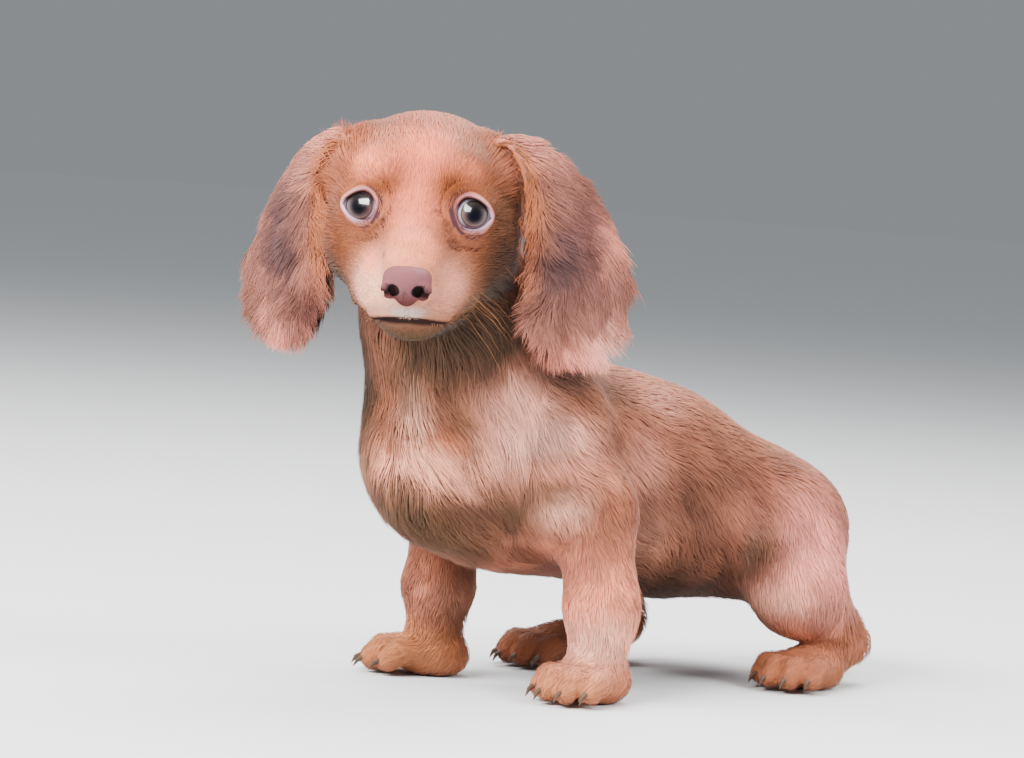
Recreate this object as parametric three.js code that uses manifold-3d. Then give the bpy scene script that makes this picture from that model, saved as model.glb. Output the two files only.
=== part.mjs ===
// A long-haired dachshund puppy at life size, half crouched on its hind legs, its head turned to one side.
// Millimetres, +Z up. The dog faces -Y, and +X is its own left side.
// Places are written as [forward, left, up] from the point on the floor midway between the forefeet,
// or in the same order in the frame of the head or of a paw. The whole is centred over the origin at the end.

import * as THREE from 'three';
import { mergeVertices } from 'three/addons/utils/BufferGeometryUtils.js';
import Module from 'manifold-3d';

const wasm = await Module();
wasm.setup();

// Driving dimensions
const LEAN = 4; // degrees by which the dog leans towards its right forefoot
const LEAN_HEADING = 43; // direction of the axis of that lean, in degrees from straight ahead to the left
const WITHERS = 151; // floor to the top of the shoulders
const CROUP = 105; // floor to the top of the hips, low because the hind legs are folded
const CHEST_WIDTH = 98;
const HIP_WIDTH = 82;
const RUMP_BACK = 150; // forefeet line back to the middle of the pelvis
const STANCE = 88; // between the middles of the forefeet
const EYE_HEIGHT = 211.5; // floor to the middle of the eyes
const EYE_SPACING = 46;
const EYE_RADIUS = 7.8;
const SKULL_WIDTH = 78;
const MUZZLE_REACH = 38; // from the eyes forward to the middle of the nose
const NOSE_WIDTH = 20;
const EAR_LENGTH = 92;
const PAW_LENGTH = 44;
const PAW_WIDTH = 37;
const GAP = 0.3; // between neighbouring pieces

// Frames

// A right-handed set of directions, forward, left and up, with an origin.
class Frame {
  constructor(origin, forward, left) {
    this.origin = origin;
    this.forward = forward.clone().normalize();
    this.left = left.clone().addScaledVector(this.forward, -left.dot(this.forward)).normalize();
    this.up = new THREE.Vector3().crossVectors(this.forward, this.left);
  }

  at([f, l, u]) {
    return this.origin.clone().add(this.along([f, l, u]));
  }

  along([f, l, u]) {
    return new THREE.Vector3()
      .addScaledVector(this.forward, f)
      .addScaledVector(this.left, l)
      .addScaledVector(this.up, u);
  }

  // A frame set at a place in this one, turned left, then nose down, then left side down, in degrees.
  turned(place, yaw, pitch = 0, roll = 0) {
    const spin = new THREE.Quaternion().setFromAxisAngle(this.up, THREE.MathUtils.degToRad(yaw));
    const left = this.left.clone().applyQuaternion(spin);
    const nod = new THREE.Quaternion().setFromAxisAngle(left, THREE.MathUtils.degToRad(pitch));
    const forward = this.forward.clone().applyQuaternion(spin).applyQuaternion(nod);
    const lean = new THREE.Quaternion().setFromAxisAngle(forward, THREE.MathUtils.degToRad(-roll));
    return new Frame(this.at(place), forward, left.applyQuaternion(lean));
  }
}

const FLOOR = new Frame(new THREE.Vector3(), new THREE.Vector3(0, -1, 0), new THREE.Vector3(1, 0, 0));
const leanAxis = FLOOR.turned([0, 0, 0], LEAN_HEADING).forward;
const lean = new THREE.Quaternion().setFromAxisAngle(leanAxis, THREE.MathUtils.degToRad(LEAN));
const BODY = new Frame(
  FLOOR.origin,
  FLOOR.forward.clone().applyQuaternion(lean),
  FLOOR.left.clone().applyQuaternion(lean),
);

// Flesh masses: each gives the distance from a point to its surface, below zero inside

// An ellipsoid lined up with a frame.
function egg(frame, centre, radii, blend) {
  const middle = frame.at(centre);
  const [rf, rl, ru] = radii;
  return {
    blend,
    distance(p) {
      const q = p.clone().sub(middle);
      const f = q.dot(frame.forward) / rf;
      const l = q.dot(frame.left) / rl;
      const u = q.dot(frame.up) / ru;
      const near = Math.hypot(f, l, u);
      const slope = Math.hypot(f / rf, l / rl, u / ru);
      return slope < 1e-9 ? -Math.min(rf, rl, ru) : (near * (near - 1)) / slope;
    },
  };
}

// A limb between two places, round at both ends, of one radius at each.
function limb(frame, from, to, startRadius, endRadius, blend) {
  const a = frame.at(from);
  const axis = frame.at(to).sub(a);
  const length2 = axis.lengthSq();
  const taper = startRadius - endRadius;
  const slant = length2 - taper * taper;
  return {
    blend,
    distance(p) {
      const q = p.clone().sub(a);
      const y = q.dot(axis);
      const z = y - length2;
      const x2 = q.multiplyScalar(length2).addScaledVector(axis, -y).lengthSq();
      const y2 = y * y * length2;
      const z2 = z * z * length2;
      const k = Math.sign(taper) * taper * taper * x2;
      if (Math.sign(z) * slant * z2 > k) return Math.sqrt(x2 + z2) / length2 - endRadius;
      if (Math.sign(y) * slant * y2 < k) return Math.sqrt(x2 + y2) / length2 - startRadius;
      return (Math.sqrt((x2 * slant) / length2) + y * taper) / length2 - startRadius;
    },
  };
}

// Masses run together into one surface, each with its own softness of join.
function fleshOf(masses) {
  return (p) => {
    let d = 1e3;
    for (const mass of masses) {
      const own = mass.distance(p);
      const k = mass.blend;
      const h = Math.max(k - Math.abs(d - own), 0) / k;
      d = Math.min(d, own) - (h * h * k) / 4;
    }
    return d;
  };
}

// Meshes and solids

// A closed geometry as a solid: vertices merged and collapsed faces dropped.
function solidOf(geometry) {
  const bare = new THREE.BufferGeometry();
  bare.setAttribute('position', geometry.getAttribute('position'));
  if (geometry.index) bare.setIndex(geometry.index);
  const merged = mergeVertices(bare, 1e-3);
  const kept = [];
  const index = merged.index.array;
  for (let i = 0; i < index.length; i += 3) {
    const [a, b, c] = [index[i], index[i + 1], index[i + 2]];
    if (a !== b && b !== c && c !== a) kept.push(a, b, c);
  }
  return new wasm.Manifold(
    new wasm.Mesh({
      numProp: 3,
      vertProperties: new Float32Array(merged.attributes.position.array),
      triVerts: new Uint32Array(kept),
    }),
  );
}

function geometryOf(solid) {
  const mesh = solid.getMesh();
  return new THREE.BufferGeometry()
    .setAttribute('position', new THREE.BufferAttribute(mesh.vertProperties, 3))
    .setIndex(new THREE.BufferAttribute(mesh.triVerts, 1));
}

// Moves every vertex of a geometry.
function reshape(geometry, place) {
  const position = geometry.getAttribute('position');
  const v = new THREE.Vector3();
  for (let i = 0; i < position.count; i++) {
    const to = place(v.fromBufferAttribute(position, i));
    position.setXYZ(i, to.x, to.y, to.z);
  }
  return geometry;
}

const SEARCH_STEP = 1.5;
const HALVINGS = 12;

// How far from a centre, along a direction, the flesh ends.
function reachOf(flesh, centre, direction, grow) {
  const p = new THREE.Vector3();
  const outside = (r) => flesh(p.copy(centre).addScaledVector(direction, r)) > grow;
  let far = SEARCH_STEP;
  while (!outside(far) && far < 200) far += SEARCH_STEP;
  let near = far - SEARCH_STEP;
  for (let i = 0; i < HALVINGS; i++) {
    const middle = (near + far) / 2;
    if (outside(middle)) far = middle;
    else near = middle;
  }
  return (near + far) / 2;
}

// A skin drawn round the flesh: rings of rays leave a spine, fanning out over its start and its end.
function wrap({ flesh, spine, side, around, along, caps, tip = caps, grow = 0 }) {
  const curve = new THREE.CatmullRomCurve3(spine);
  const rings = tip + along + caps;
  return reshape(new THREE.SphereGeometry(1, around, rings), (v) => {
    const ring = Math.round((Math.acos(THREE.MathUtils.clamp(v.y, -1, 1)) / Math.PI) * rings);
    const beyond = ring < tip ? 1 - ring / tip : Math.min(0, (tip + along - ring) / caps);
    const t = THREE.MathUtils.clamp(1 - (ring - tip) / along, 0, 1);
    const centre = curve.getPoint(t);
    const tangent = curve.getTangent(t);
    const normal = side.clone().addScaledVector(tangent, -side.dot(tangent)).normalize();
    const third = new THREE.Vector3().crossVectors(normal, tangent);
    const turn = Math.atan2(v.z, v.x);
    const rise = (beyond * Math.PI) / 2;
    const direction = new THREE.Vector3()
      .addScaledVector(normal, Math.cos(turn) * Math.cos(rise))
      .addScaledVector(third, Math.sin(turn) * Math.cos(rise))
      .addScaledVector(tangent, Math.sin(rise))
      .normalize();
    return centre.addScaledVector(direction, reachOf(flesh, centre, direction, grow));
  });
}

// The slope of the flesh at a point, which is the way out of the skin.
function outOf(flesh, p) {
  const step = 0.5;
  const rise = (x, y, z) => flesh(p.clone().add(new THREE.Vector3(x, y, z)));
  return new THREE.Vector3(
    rise(step, 0, 0) - rise(-step, 0, 0),
    rise(0, step, 0) - rise(0, -step, 0),
    rise(0, 0, step) - rise(0, 0, -step),
  ).normalize();
}

// Locks: long hair in flat tapered tongues, each rooted in the skin and bending along the lie of the coat

const LOCK_SINK = 3.5; // depth of a root below the skin
const LOCK_WIDEST = 0.4; // share of the length at which a lock is widest
const LOCK_STEPS = 4;
const LOCK_SIDES = 3; // one ridge outwards and a flat face towards the skin

// A repeatable run of numbers from 0 to 1.
function variation(seed) {
  let state = seed;
  return () => {
    state = (state * 1664525 + 1013904223) % 4294967296;
    return state / 4294967296;
  };
}

// Height of a lock's middle above the skin at each step, from its sunken root to its tip.
const liftOf = (s, rise, flare) => {
  if (s < 0.3) return THREE.MathUtils.lerp(-LOCK_SINK, 0, s / 0.3);
  return s < 0.6 ? (rise * (s - 0.3)) / 0.3 : THREE.MathUtils.lerp(rise, flare, (s - 0.6) / 0.4);
};

// The way of a lock over the flesh, from a root on the skin and along the lie.
function lockOver(flesh, root, lie, { length, width, thick, rise = 2.2, flare = 2.6 }) {
  const points = [];
  const outs = [];
  const p = root.clone();
  for (let i = 0; i <= LOCK_STEPS; i++) {
    const out = outOf(flesh, p);
    p.addScaledVector(out, -flesh(p));
    points.push(p.clone().addScaledVector(out, liftOf(i / LOCK_STEPS, rise, flare)));
    outs.push(out);
    const flow = lie.clone().addScaledVector(out, -lie.dot(out)).normalize();
    p.addScaledVector(flow, length / LOCK_STEPS);
  }
  return { points, outs, width, thick };
}

// A lock where a ray from inside the flesh comes out.
function lockFrom(flesh, centre, direction, lie, size) {
  const unit = direction.clone().normalize();
  const root = centre.clone().addScaledVector(unit, reachOf(flesh, centre, unit, 0));
  return lockOver(flesh, root, lie, size);
}

function lock({ points, outs, width, thick }, grow) {
  const path = new THREE.CatmullRomCurve3(points);
  return reshape(new THREE.ConeGeometry(1, 1, LOCK_SIDES, LOCK_STEPS), (v) => {
    const s = v.y + 0.5;
    const spread = Math.max(1 - s, 1e-6);
    const full = s < LOCK_WIDEST ? 0.45 + (0.55 * s) / LOCK_WIDEST : 1 - ((s - LOCK_WIDEST) / 0.6) ** 1.5;
    const tangent = path.getTangent(s);
    const step = Math.min(Math.floor(s * LOCK_STEPS), LOCK_STEPS - 1);
    const out = outs[step].clone().lerp(outs[step + 1], s * LOCK_STEPS - step);
    const across = new THREE.Vector3().crossVectors(tangent, out).normalize();
    const face = new THREE.Vector3().crossVectors(across, tangent);
    const sideways = (v.x / spread) * ((width / 2) * full + grow);
    const outwards = (v.z / spread) * ((thick / 2) * full + grow);
    const point = path.getPoint(s).addScaledVector(tangent, (s * 2 - 1) * grow);
    return s > 0.999 ? point : point.addScaledVector(across, sideways).addScaledVector(face, outwards);
  });
}

// Trunk

const chestHalf = CHEST_WIDTH / 2;
const hipHalf = HIP_WIDTH / 2;
const bothSides = (make) => [1, -1].map(make);
const trunkMasses = [
  egg(BODY, [2, 1, WITHERS - 51], [54, chestHalf, 51], 20),
  egg(BODY, [-50, -4, WITHERS - 58], [56, chestHalf - 2, 51], 24),
  egg(BODY, [-100, -2, 80], [50, hipHalf + 4, 51], 26),
  egg(BODY, [-RUMP_BACK, 5, CROUP - 40], [40, hipHalf, 40], 26),
  egg(BODY, [50, 3, 100], [24, 38, 32], 22),
];
const shoulderMasses = bothSides((s) => limb(BODY, [2, s * 31, 116], [24, s * 37, 90], 20, 19, 14));
const neckMasses = [limb(BODY, [22, 1, 126], [50, 8, 174], 47, 38, 20)];
const trunkFlesh = fleshOf([...trunkMasses, ...shoulderMasses, ...neckMasses]);
const trunkShape = (grow) =>
  wrap({
    flesh: trunkFlesh,
    spine: [
      [-RUMP_BACK - 6, 5, 68],
      [-100, -2, 80],
      [-46, -4, 92],
      [2, 1, 102],
      [32, 4, 136],
      [52, 8, 178],
    ].map((p) => BODY.at(p)),
    side: BODY.left,
    around: 22,
    along: 17,
    caps: 4,
    tip: 2,
    grow,
  });

// The plane that parts the neck from the trunk slants from the withers to the breastbone.
const NECK_BASE = BODY.turned([38, 3, 128], 0, -56);
const BLOCK = 400;
const beyondNeckBase = (gap) => {
  const block = new THREE.BoxGeometry(BLOCK, BLOCK, BLOCK);
  const turn = new THREE.Quaternion().setFromUnitVectors(new THREE.Vector3(1, 0, 0), NECK_BASE.forward);
  const place = NECK_BASE.at([BLOCK / 2 + gap, 0, 0]);
  return solidOf(block.applyQuaternion(turn).translate(place.x, place.y, place.z));
};
const torsoSolid = (grow) => solidOf(trunkShape(grow)).subtract(beyondNeckBase(grow));
const neckSolid = (grow) => solidOf(trunkShape(grow)).intersect(beyondNeckBase(GAP - grow));

// Long hair down the chest, spreading from a whorl on the breastbone, and hanging along the belly
const CHEST_ROWS = [14, -8, -30];
const CHEST_ARC = 56; // degrees to each side of straight ahead that the chest hair covers
const degrees = THREE.MathUtils.degToRad;
const chestLocks = () => {
  const vary = variation(11);
  return CHEST_ROWS.flatMap((rise, row) =>
    [-1, -0.5, 0, 0.5, 1].map((place) => {
      const turn = degrees(CHEST_ARC * (place + (row % 2 ? 0.125 : -0.125)));
      const tilt = degrees(rise);
      const away = [Math.cos(turn) * Math.cos(tilt), Math.sin(turn) * Math.cos(tilt), Math.sin(tilt)];
      const lie = BODY.along([-0.1, Math.sin(turn) * 0.45 + (vary() - 0.5) * 0.3, -1]);
      const size = { length: 36 + 8 * vary(), width: 17, thick: 3.4, flare: 6.5 };
      return lockFrom(wholeFlesh, BODY.at([14, 2, 98]), BODY.along(away), lie, size);
    }),
  );
};
const BELLY_ROWS = [-24, -50, -76, -102];
const bellyLocks = () => {
  const vary = variation(23);
  return BELLY_ROWS.flatMap((f) =>
    [-0.5, 0.5].map((l) => {
      const lie = BODY.along([-1, l * 0.2 + (vary() - 0.5) * 0.3, -0.2]);
      const size = { length: 34 + 5 * vary(), width: 20, thick: 4, flare: 6 };
      return lockFrom(wholeFlesh, BODY.at([f, -3, 90]), BODY.along([0, l, -1]), lie, size);
    }),
  );
};

const neckLocks = () => {
  const vary = variation(37);
  return [-90, -60, -30, 0, 30, 60, 90].map((turn, i) => {
    const a = degrees(turn);
    const away = BODY.along([Math.cos(a), Math.sin(a), 0]);
    const lie = BODY.along([0.1, Math.sin(a) * 0.3 + (vary() - 0.5) * 0.2, -1]);
    const size = { length: 40 + 5 * vary(), width: 20, thick: 3.4, flare: 5 };
    return lockFrom(wholeFlesh, BODY.at([38, 4, i % 2 ? 146 : 154]), away, lie, size);
  });
};

// Head

const HEAD_YAW = 38;
const HEAD_PITCH = 20;
const HEAD_ROLL = 4;
const HEAD = BODY.turned([92.6, 34, EYE_HEIGHT], HEAD_YAW, HEAD_PITCH, HEAD_ROLL);
const skullHalf = SKULL_WIDTH / 2;
const noseUp = -20;
const headMasses = [
  egg(HEAD, [-28, 0, -6], [39, skullHalf, 35], 8),
  limb(HEAD, [-44, 0, -16], [-22, 0, -24], 26, 25, 10),
  ...bothSides((s) => egg(HEAD, [-11, s * 22, -17], [22, 15, 21], 10)),
  ...bothSides((s) => egg(HEAD, [-9, s * 17, 10], [13, 14, 11], 8)),
  limb(HEAD, [0, 0, -12], [28, 0, -21], 18, 13, 10),
  limb(HEAD, [-4, 0, -2], [30, 0, -13], 11, 8.5, 8),
  ...bothSides((s) => limb(HEAD, [-9, s * 20, -24], [5, s * 14.5, -33.5], 15.5, 13, 9)),
  ...bothSides((s) => egg(HEAD, [14, s * 11, -30], [18, 13.5, 14], 7)),
  egg(HEAD, [23, 0, -31], [12, 11, 10], 6),
  egg(HEAD, [3, 0, -43.5], [26, 18, 13], 6),
  ...bothSides((s) => limb(HEAD, [-24, s * 24, 16], [-16, s * 34, 5], 9, 5.5, 8)),
];
const headFlesh = fleshOf(headMasses);
const headShape = (grow) =>
  wrap({
    flesh: headFlesh,
    spine: [
      [-34, 0, -6],
      [-20, 0, -11],
      [-8, 0, -17],
    ].map((p) => HEAD.at(p)),
    side: HEAD.left,
    around: 32,
    along: 3,
    caps: 5,
    tip: 13,
    grow,
  });

const eyeAt = (s) => [0, (s * EYE_SPACING) / 2, 0];

// A round or pointed bar between two places.
function bar(frame, from, to, startRadius, endRadius, sides) {
  const a = frame.at(from);
  const b = frame.at(to);
  const axis = b.clone().sub(a);
  const spin = new THREE.Quaternion().setFromUnitVectors(
    new THREE.Vector3(0, 1, 0),
    axis.clone().normalize(),
  );
  return new THREE.CylinderGeometry(endRadius, startRadius, axis.length(), sides)
    .applyQuaternion(spin)
    .translate(...a.add(b).multiplyScalar(0.5).toArray());
}

const LID_THICKNESS = 1.7;
const LID_OPENING = 6.3; // half width between the lids
const eyeFrame = (s) => HEAD.turned(eyeAt(s), s * 16, -6);
const lidShell = (s) =>
  new THREE.SphereGeometry(EYE_RADIUS + LID_THICKNESS, 14, 9).translate(...HEAD.at(eyeAt(s)).toArray());
const lidOpening = (s) =>
  bar(eyeFrame(s), [2, 0, 0], [14, 0, 0], LID_OPENING - 1.4, LID_OPENING + 2, 14);

// The line of the mouth, a wedge run round the muzzle under the lips.
const MOUTH_LINE = [
  [1, 26, -39.5],
  [9, 22.5, -45],
  [19, 18, -45],
  [27, 12, -41.5],
  [31, 0, -38.5],
  [27, -12, -41.5],
  [19, -18, -45],
  [9, -22.5, -45],
  [1, -26, -39.5],
];
const MOUTH_GAPE = 1.5;
function mouthCut() {
  const path = new THREE.CatmullRomCurve3(MOUTH_LINE.map((p) => HEAD.at(p)));
  const axis = HEAD.at([4, 0, -37]);
  return reshape(new THREE.BoxGeometry(1, 1, 1, 20, 1, 1), (v) => {
    const point = path.getPoint(0.5 + v.x);
    const outward = point.clone().sub(axis).normalize();
    const half = v.y > 0 ? MOUTH_GAPE : MOUTH_GAPE / 3;
    return point.addScaledVector(outward, v.y > 0 ? 6 : -3).addScaledVector(HEAD.up, v.z * half);
  });
}

const nostril = (s) =>
  bar(HEAD, [MUZZLE_REACH - 2, s * 4.5, noseUp], [MUZZLE_REACH + 8, s * 7.2, noseUp], 1.2, 2.6, 8);
const philtrum = () => bar(HEAD, [MUZZLE_REACH + 5.6, 0, noseUp - 12], [MUZZLE_REACH + 7, 0, noseUp + 1], 1, 0.5, 4);

const eyeShape = (s) => (grow) => {
  const middle = HEAD.at(eyeAt(s));
  return reshape(new THREE.SphereGeometry(EYE_RADIUS + grow, 14, 8), (v) => v.clone().add(middle));
};

const noseFlesh = fleshOf([
  egg(HEAD, [MUZZLE_REACH - 1, 0, noseUp + 1], [7, NOSE_WIDTH / 2, 8], 3),
  egg(HEAD, [MUZZLE_REACH + 1, 0, noseUp - 5], [5, 5, 6], 3),
]);
const noseCore = (grow) =>
  wrap({
    flesh: noseFlesh,
    spine: [
      [MUZZLE_REACH - 2, 0, noseUp - 1],
      [MUZZLE_REACH, 0, noseUp - 1],
    ].map((p) => HEAD.at(p)),
    side: HEAD.left,
    around: 14,
    along: 1,
    caps: 4,
    grow,
  });

// Ears, each a leaf between a front and a back margin that meet at the root and at the tip

const EARS = {
  left: {
    side: 1,
    front: [
      [-20, 24, 24],
      [-15, 35, 19],
      [-11, 41, 7],
      [-9, 43, -15],
      [-8, 44, -36],
      [-9, 45, -54],
      [-16, 65, -69.5],
    ],
    back: [
      [-20, 24, 24],
      [-25, 43, 22],
      [-30, 57, 12],
      [-36, 78, -15],
      [-37, 87, -40],
      [-31, 82, -62],
      [-16, 65, -69.5],
    ],
  },
  right: {
    side: -1,
    front: [
      [-20, 22, 24],
      [-15, 34, 17],
      [-11, 38, 3],
      [-9, 38, -16],
      [-8, 37, -37],
      [-10, 41, -56],
      [-20, 55, -73],
    ],
    back: [
      [-20, 22, 24],
      [-26, 39, 18],
      [-35, 51, 6],
      [-44, 65, -20],
      [-47, 75, -40],
      [-39, 73, -63],
      [-20, 55, -73],
    ],
  },
};
const EAR_THICKNESS = 8;
const EAR_BOW = 5; // how far the middle of the ear bows outwards
const EAR_CORE = 0.84; // share of the ear's width that is skin and dense hair
const earCurve = ({ side }, margin) =>
  new THREE.CatmullRomCurve3(margin.map(([f, l, u]) => HEAD.at([f, side * l, u])));

// A place on the leaf: a share of the way to its tip, and from -1 at its front margin to 1 at its back margin.
const earLeaf = (ear) => {
  const front = earCurve(ear, ear.front);
  const back = earCurve(ear, ear.back);
  return (along, share) => {
    const t = Math.min(along, 1);
    const a = front.getPoint(t);
    const b = back.getPoint(t);
    const half = b.clone().sub(a).multiplyScalar(0.5);
    const tangent = front.getTangent(t).add(back.getTangent(t)).normalize();
    const out = new THREE.Vector3().crossVectors(tangent, half).multiplyScalar(ear.side).normalize();
    const bow = EAR_BOW * (1 - Math.min(share * share, 1)) * Math.sin(Math.PI * t);
    const point = a
      .add(b)
      .multiplyScalar(0.5)
      .addScaledVector(half, share)
      .addScaledVector(tangent, (along - t) * EAR_LENGTH)
      .addScaledVector(out, bow);
    return { point, half, tangent, out };
  };
};
const earThickness = (along, share) => {
  const roll = 1 + 0.4 * Math.exp(-(((share + 0.8) / 0.25) ** 2));
  return EAR_THICKNESS * Math.sqrt(Math.sin(Math.PI * along)) * roll;
};
const earShape = (ear) => (grow) => {
  const leaf = earLeaf(ear);
  return reshape(new THREE.SphereGeometry(1, 16, 13), (v) => {
    const along = Math.acos(THREE.MathUtils.clamp(v.y, -1, 1)) / Math.PI;
    const ring = Math.hypot(v.x, v.z) || 1;
    const share = (v.x / ring) * (v.x > 0 ? EAR_CORE : 1);
    const { point, half, tangent, out } = leaf(along, share);
    return point
      .addScaledVector(half.normalize(), grow * share)
      .addScaledVector(tangent, -grow * v.y)
      .addScaledVector(out, (v.z / ring) * (earThickness(along, share) / 2 + grow) * ear.side);
  });
};

// Long hair fans over the ear from its front margin, and past its back margin and tip.
const EAR_ROWS = [0.17, 0.32, 0.47, 0.62, 0.77];
const EAR_COLUMNS = [-0.45, 0.05, 0.5];
const EAR_LIE = 40; // degrees by which the hair at the root turns from the back margin to the tip
const EAR_FRINGE = 1.12; // how far past the back margin, in half widths, the longest hair ends
const earLocks = (ear, seed) => () => {
  const vary = variation(seed);
  const leaf = earLeaf(ear);
  return EAR_ROWS.flatMap((row) =>
    EAR_COLUMNS.map((column, i) => {
      const t = row + (i % 2 ? 0.05 : 0) + (vary() - 0.5) * 0.03;
      const turn = degrees(EAR_LIE + 40 * t + 14 * (vary() - 0.5));
      const halfWidth = leaf(t, 0).half.length();
      const length = Math.min(24, halfWidth * 1.3) + 5 * vary();
      const points = [];
      const outs = [];
      for (let step = 0; step <= LOCK_STEPS; step++) {
        const s = step / LOCK_STEPS;
        const along = t + (s * Math.sin(turn) * length) / EAR_LENGTH;
        const reach = column + (Math.cos(turn) * length) / halfWidth;
        const share = THREE.MathUtils.lerp(column, Math.min(reach, EAR_FRINGE), s);
        const { point, out } = leaf(along, share);
        const skin = along < 1 ? earThickness(along, Math.min(share, 1)) / 2 : 0;
        const lift = liftOf(s, 1.6, 1.6 - 2.5 * Math.max(0, share - 0.8));
        points.push(point.addScaledVector(out, Math.max(skin, 1) + lift));
        outs.push(out);
      }
      return { points, outs, width: Math.min(13, halfWidth * 0.7), thick: 3 };
    }),
  );
};

// Legs

// A place on the body as the floor frame has it.
const onFloor = (place) => {
  const p = BODY.at(place);
  return [-p.y, p.x, p.z];
};

const halfStance = STANCE / 2;
const FORELEGS = {
  left: { side: 1, foot: [-5, halfStance, 0], toe: 4 },
  right: { side: -1, foot: [5, -halfStance, 0], toe: -40 },
};
const CARPUS_HEIGHT = 40;
const PAW_AHEAD = 6; // middle of a forepaw in front of its leg
const forelegMasses = ({ side, foot }) => [
  limb(FLOOR, onFloor([12, side * 38, 86]), onFloor([-5, side * 42, 80]), 17, 19, 12),
  limb(FLOOR, onFloor([-5, side * 42, 80]), [foot[0], foot[1], CARPUS_HEIGHT], 19, 15.5, 10),
  egg(FLOOR, [foot[0] + 1, foot[1], CARPUS_HEIGHT], [16, 17, 14], 8),
  limb(FLOOR, [foot[0], foot[1], CARPUS_HEIGHT], [foot[0] + 2, foot[1], 14], 14, 14, 6),
];
const forelegShape = (leg) => (grow) =>
  wrap({
    flesh: fleshOf(forelegMasses(leg)),
    spine: [
      onFloor([2, leg.side * 41, 84]),
      [leg.foot[0], leg.foot[1], CARPUS_HEIGHT],
      [leg.foot[0] + 2, leg.foot[1], 16],
    ].map((p) => FLOOR.at(p)),
    side: FLOOR.left,
    around: 12,
    along: 8,
    caps: 3,
    grow,
  });

// Feathers behind each foreleg from the elbow to the wrist
const FEATHER_HEIGHTS = [80, 69, 58, 47];
const forelegLocks = (leg) => () => {
  const vary = variation(51 + leg.side);
  const flesh = fleshOf(forelegMasses(leg));
  return FEATHER_HEIGHTS.flatMap((height) =>
    [0.15, 0.95].map((out) => {
      const centre = FLOOR.at([leg.foot[0], leg.side * 43, height]);
      const lie = FLOOR.along([-0.55, leg.side * (out - 0.4) * 0.3, -1 + 0.2 * vary()]);
      const size = { length: 22 + 4 * vary(), width: 13, thick: 3.2, flare: 6 };
      return lockFrom(flesh, centre, FLOOR.along([-1, leg.side * out, 0]), lie, size);
    }),
  );
};

// The left hind leg is folded beside the rump, the right one is set further forward.
const HINDLEGS = {
  left: {
    side: 1,
    hip: [-151, 24, 70],
    knee: [-138, 45, 44],
    hock: [-170, 50, 20],
    foot: [-137, 53, 0],
    toe: 8,
  },
  right: {
    side: -1,
    hip: [-146, -20, 72],
    knee: [-98.5, -42.5, 55.5],
    hock: [-120, -44, 19],
    foot: [-72, -44, 0],
    toe: -6,
  },
};
const instep = ({ foot }) => [foot[0] - 12, foot[1], 11];
const hindlegMasses = (leg) => [
  limb(FLOOR, leg.hip, leg.knee, 32, 22, 12),
  limb(FLOOR, leg.knee, leg.hock, 19, 11, 12),
  limb(FLOOR, leg.hock, instep(leg), 11, 11, 6),
];
const hindlegShape = (leg) => (grow) => {
  const flesh = fleshOf(hindlegMasses(leg));
  const thigh = wrap({
    flesh,
    spine: [leg.hip, leg.knee].map((p) => FLOOR.at(p)),
    side: FLOOR.left,
    around: 12,
    along: 4,
    caps: 4,
    grow,
  });
  const shin = wrap({
    flesh: fleshOf(hindlegMasses(leg).slice(1)),
    spine: [leg.knee, leg.hock, instep(leg)].map((p) => FLOOR.at(p)),
    side: FLOOR.left,
    around: 10,
    along: 6,
    caps: 2,
    grow,
  });
  return [thigh, shin];
};

// Breeches down the back of each thigh
const breechLocks = (leg) => () => {
  const vary = variation(71 + leg.side);
  const flesh = fleshOf(hindlegMasses(leg));
  return [86, 70, 54].flatMap((height) =>
    [0.35, 1.2].map((out) => {
      const centre = FLOOR.at([leg.hip[0] + 4, leg.hip[1] + leg.side * 6, height]);
      const lie = FLOOR.along([-0.25, leg.side * 0.2 * (vary() - 0.5), -1]);
      const size = { length: 28 + 4 * vary(), width: 18, thick: 3.6, flare: 4.5 };
      return lockFrom(flesh, centre, FLOOR.along([-1, leg.side * out, 0]), lie, size);
    }),
  );
};

// All the flesh of the trunk, neck and legs as one.
const wholeFlesh = fleshOf([
  ...trunkMasses,
  ...shoulderMasses,
  ...neckMasses,
  ...Object.values(FORELEGS).flatMap(forelegMasses),
  ...Object.values(HINDLEGS).flatMap(hindlegMasses),
]);

// Paws

const TOES = [
  { left: -13, reach: 15, bulk: 6.4 },
  { left: -4.8, reach: 21, bulk: 6.8 },
  { left: 4.8, reach: 21, bulk: 6.8 },
  { left: 13, reach: 15, bulk: 6.4 },
];
const pawShape = (foot, heading) => (grow) => {
  const frame = FLOOR.turned(foot, heading);
  const palm = fleshOf([egg(frame, [-5, 0, 9], [PAW_LENGTH / 2 - 4, PAW_WIDTH / 2 - 3, 12], 2)]);
  const pieces = [
    wrap({
      flesh: palm,
      spine: [frame.at([-8, 0, 9]), frame.at([2, 0, 9])],
      side: frame.left,
      around: 10,
      along: 1,
      caps: 3,
      grow,
    }),
  ];
  for (const { left, reach, bulk } of TOES) {
    const toe = fleshOf([
      limb(frame, [2, left * 0.75, 11], [reach - 5, left, 11], bulk, bulk, 2),
      limb(frame, [reach - 5, left, 10], [reach, left * 1.05, 6.5], bulk, bulk - 0.6, 3),
    ]);
    pieces.push(
      wrap({
        flesh: toe,
        spine: [frame.at([4, left * 0.8, 9]), frame.at([reach - 1, left, 8])],
        side: frame.left,
        around: 8,
        along: 2,
        caps: 2,
        grow,
      }),
      bar(frame, [reach + 2, left * 1.05, 8], [reach + 11, left * 1.12, 2.5], 1.9 + grow, 0.35 + grow, 5),
    );
  }
  return pieces;
};
const forepawPlace = ({ foot, toe }) => {
  const p = FLOOR.turned(foot, toe).at([PAW_AHEAD, 0, 0]);
  return [-p.y, p.x, p.z];
};

// Tail

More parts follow.
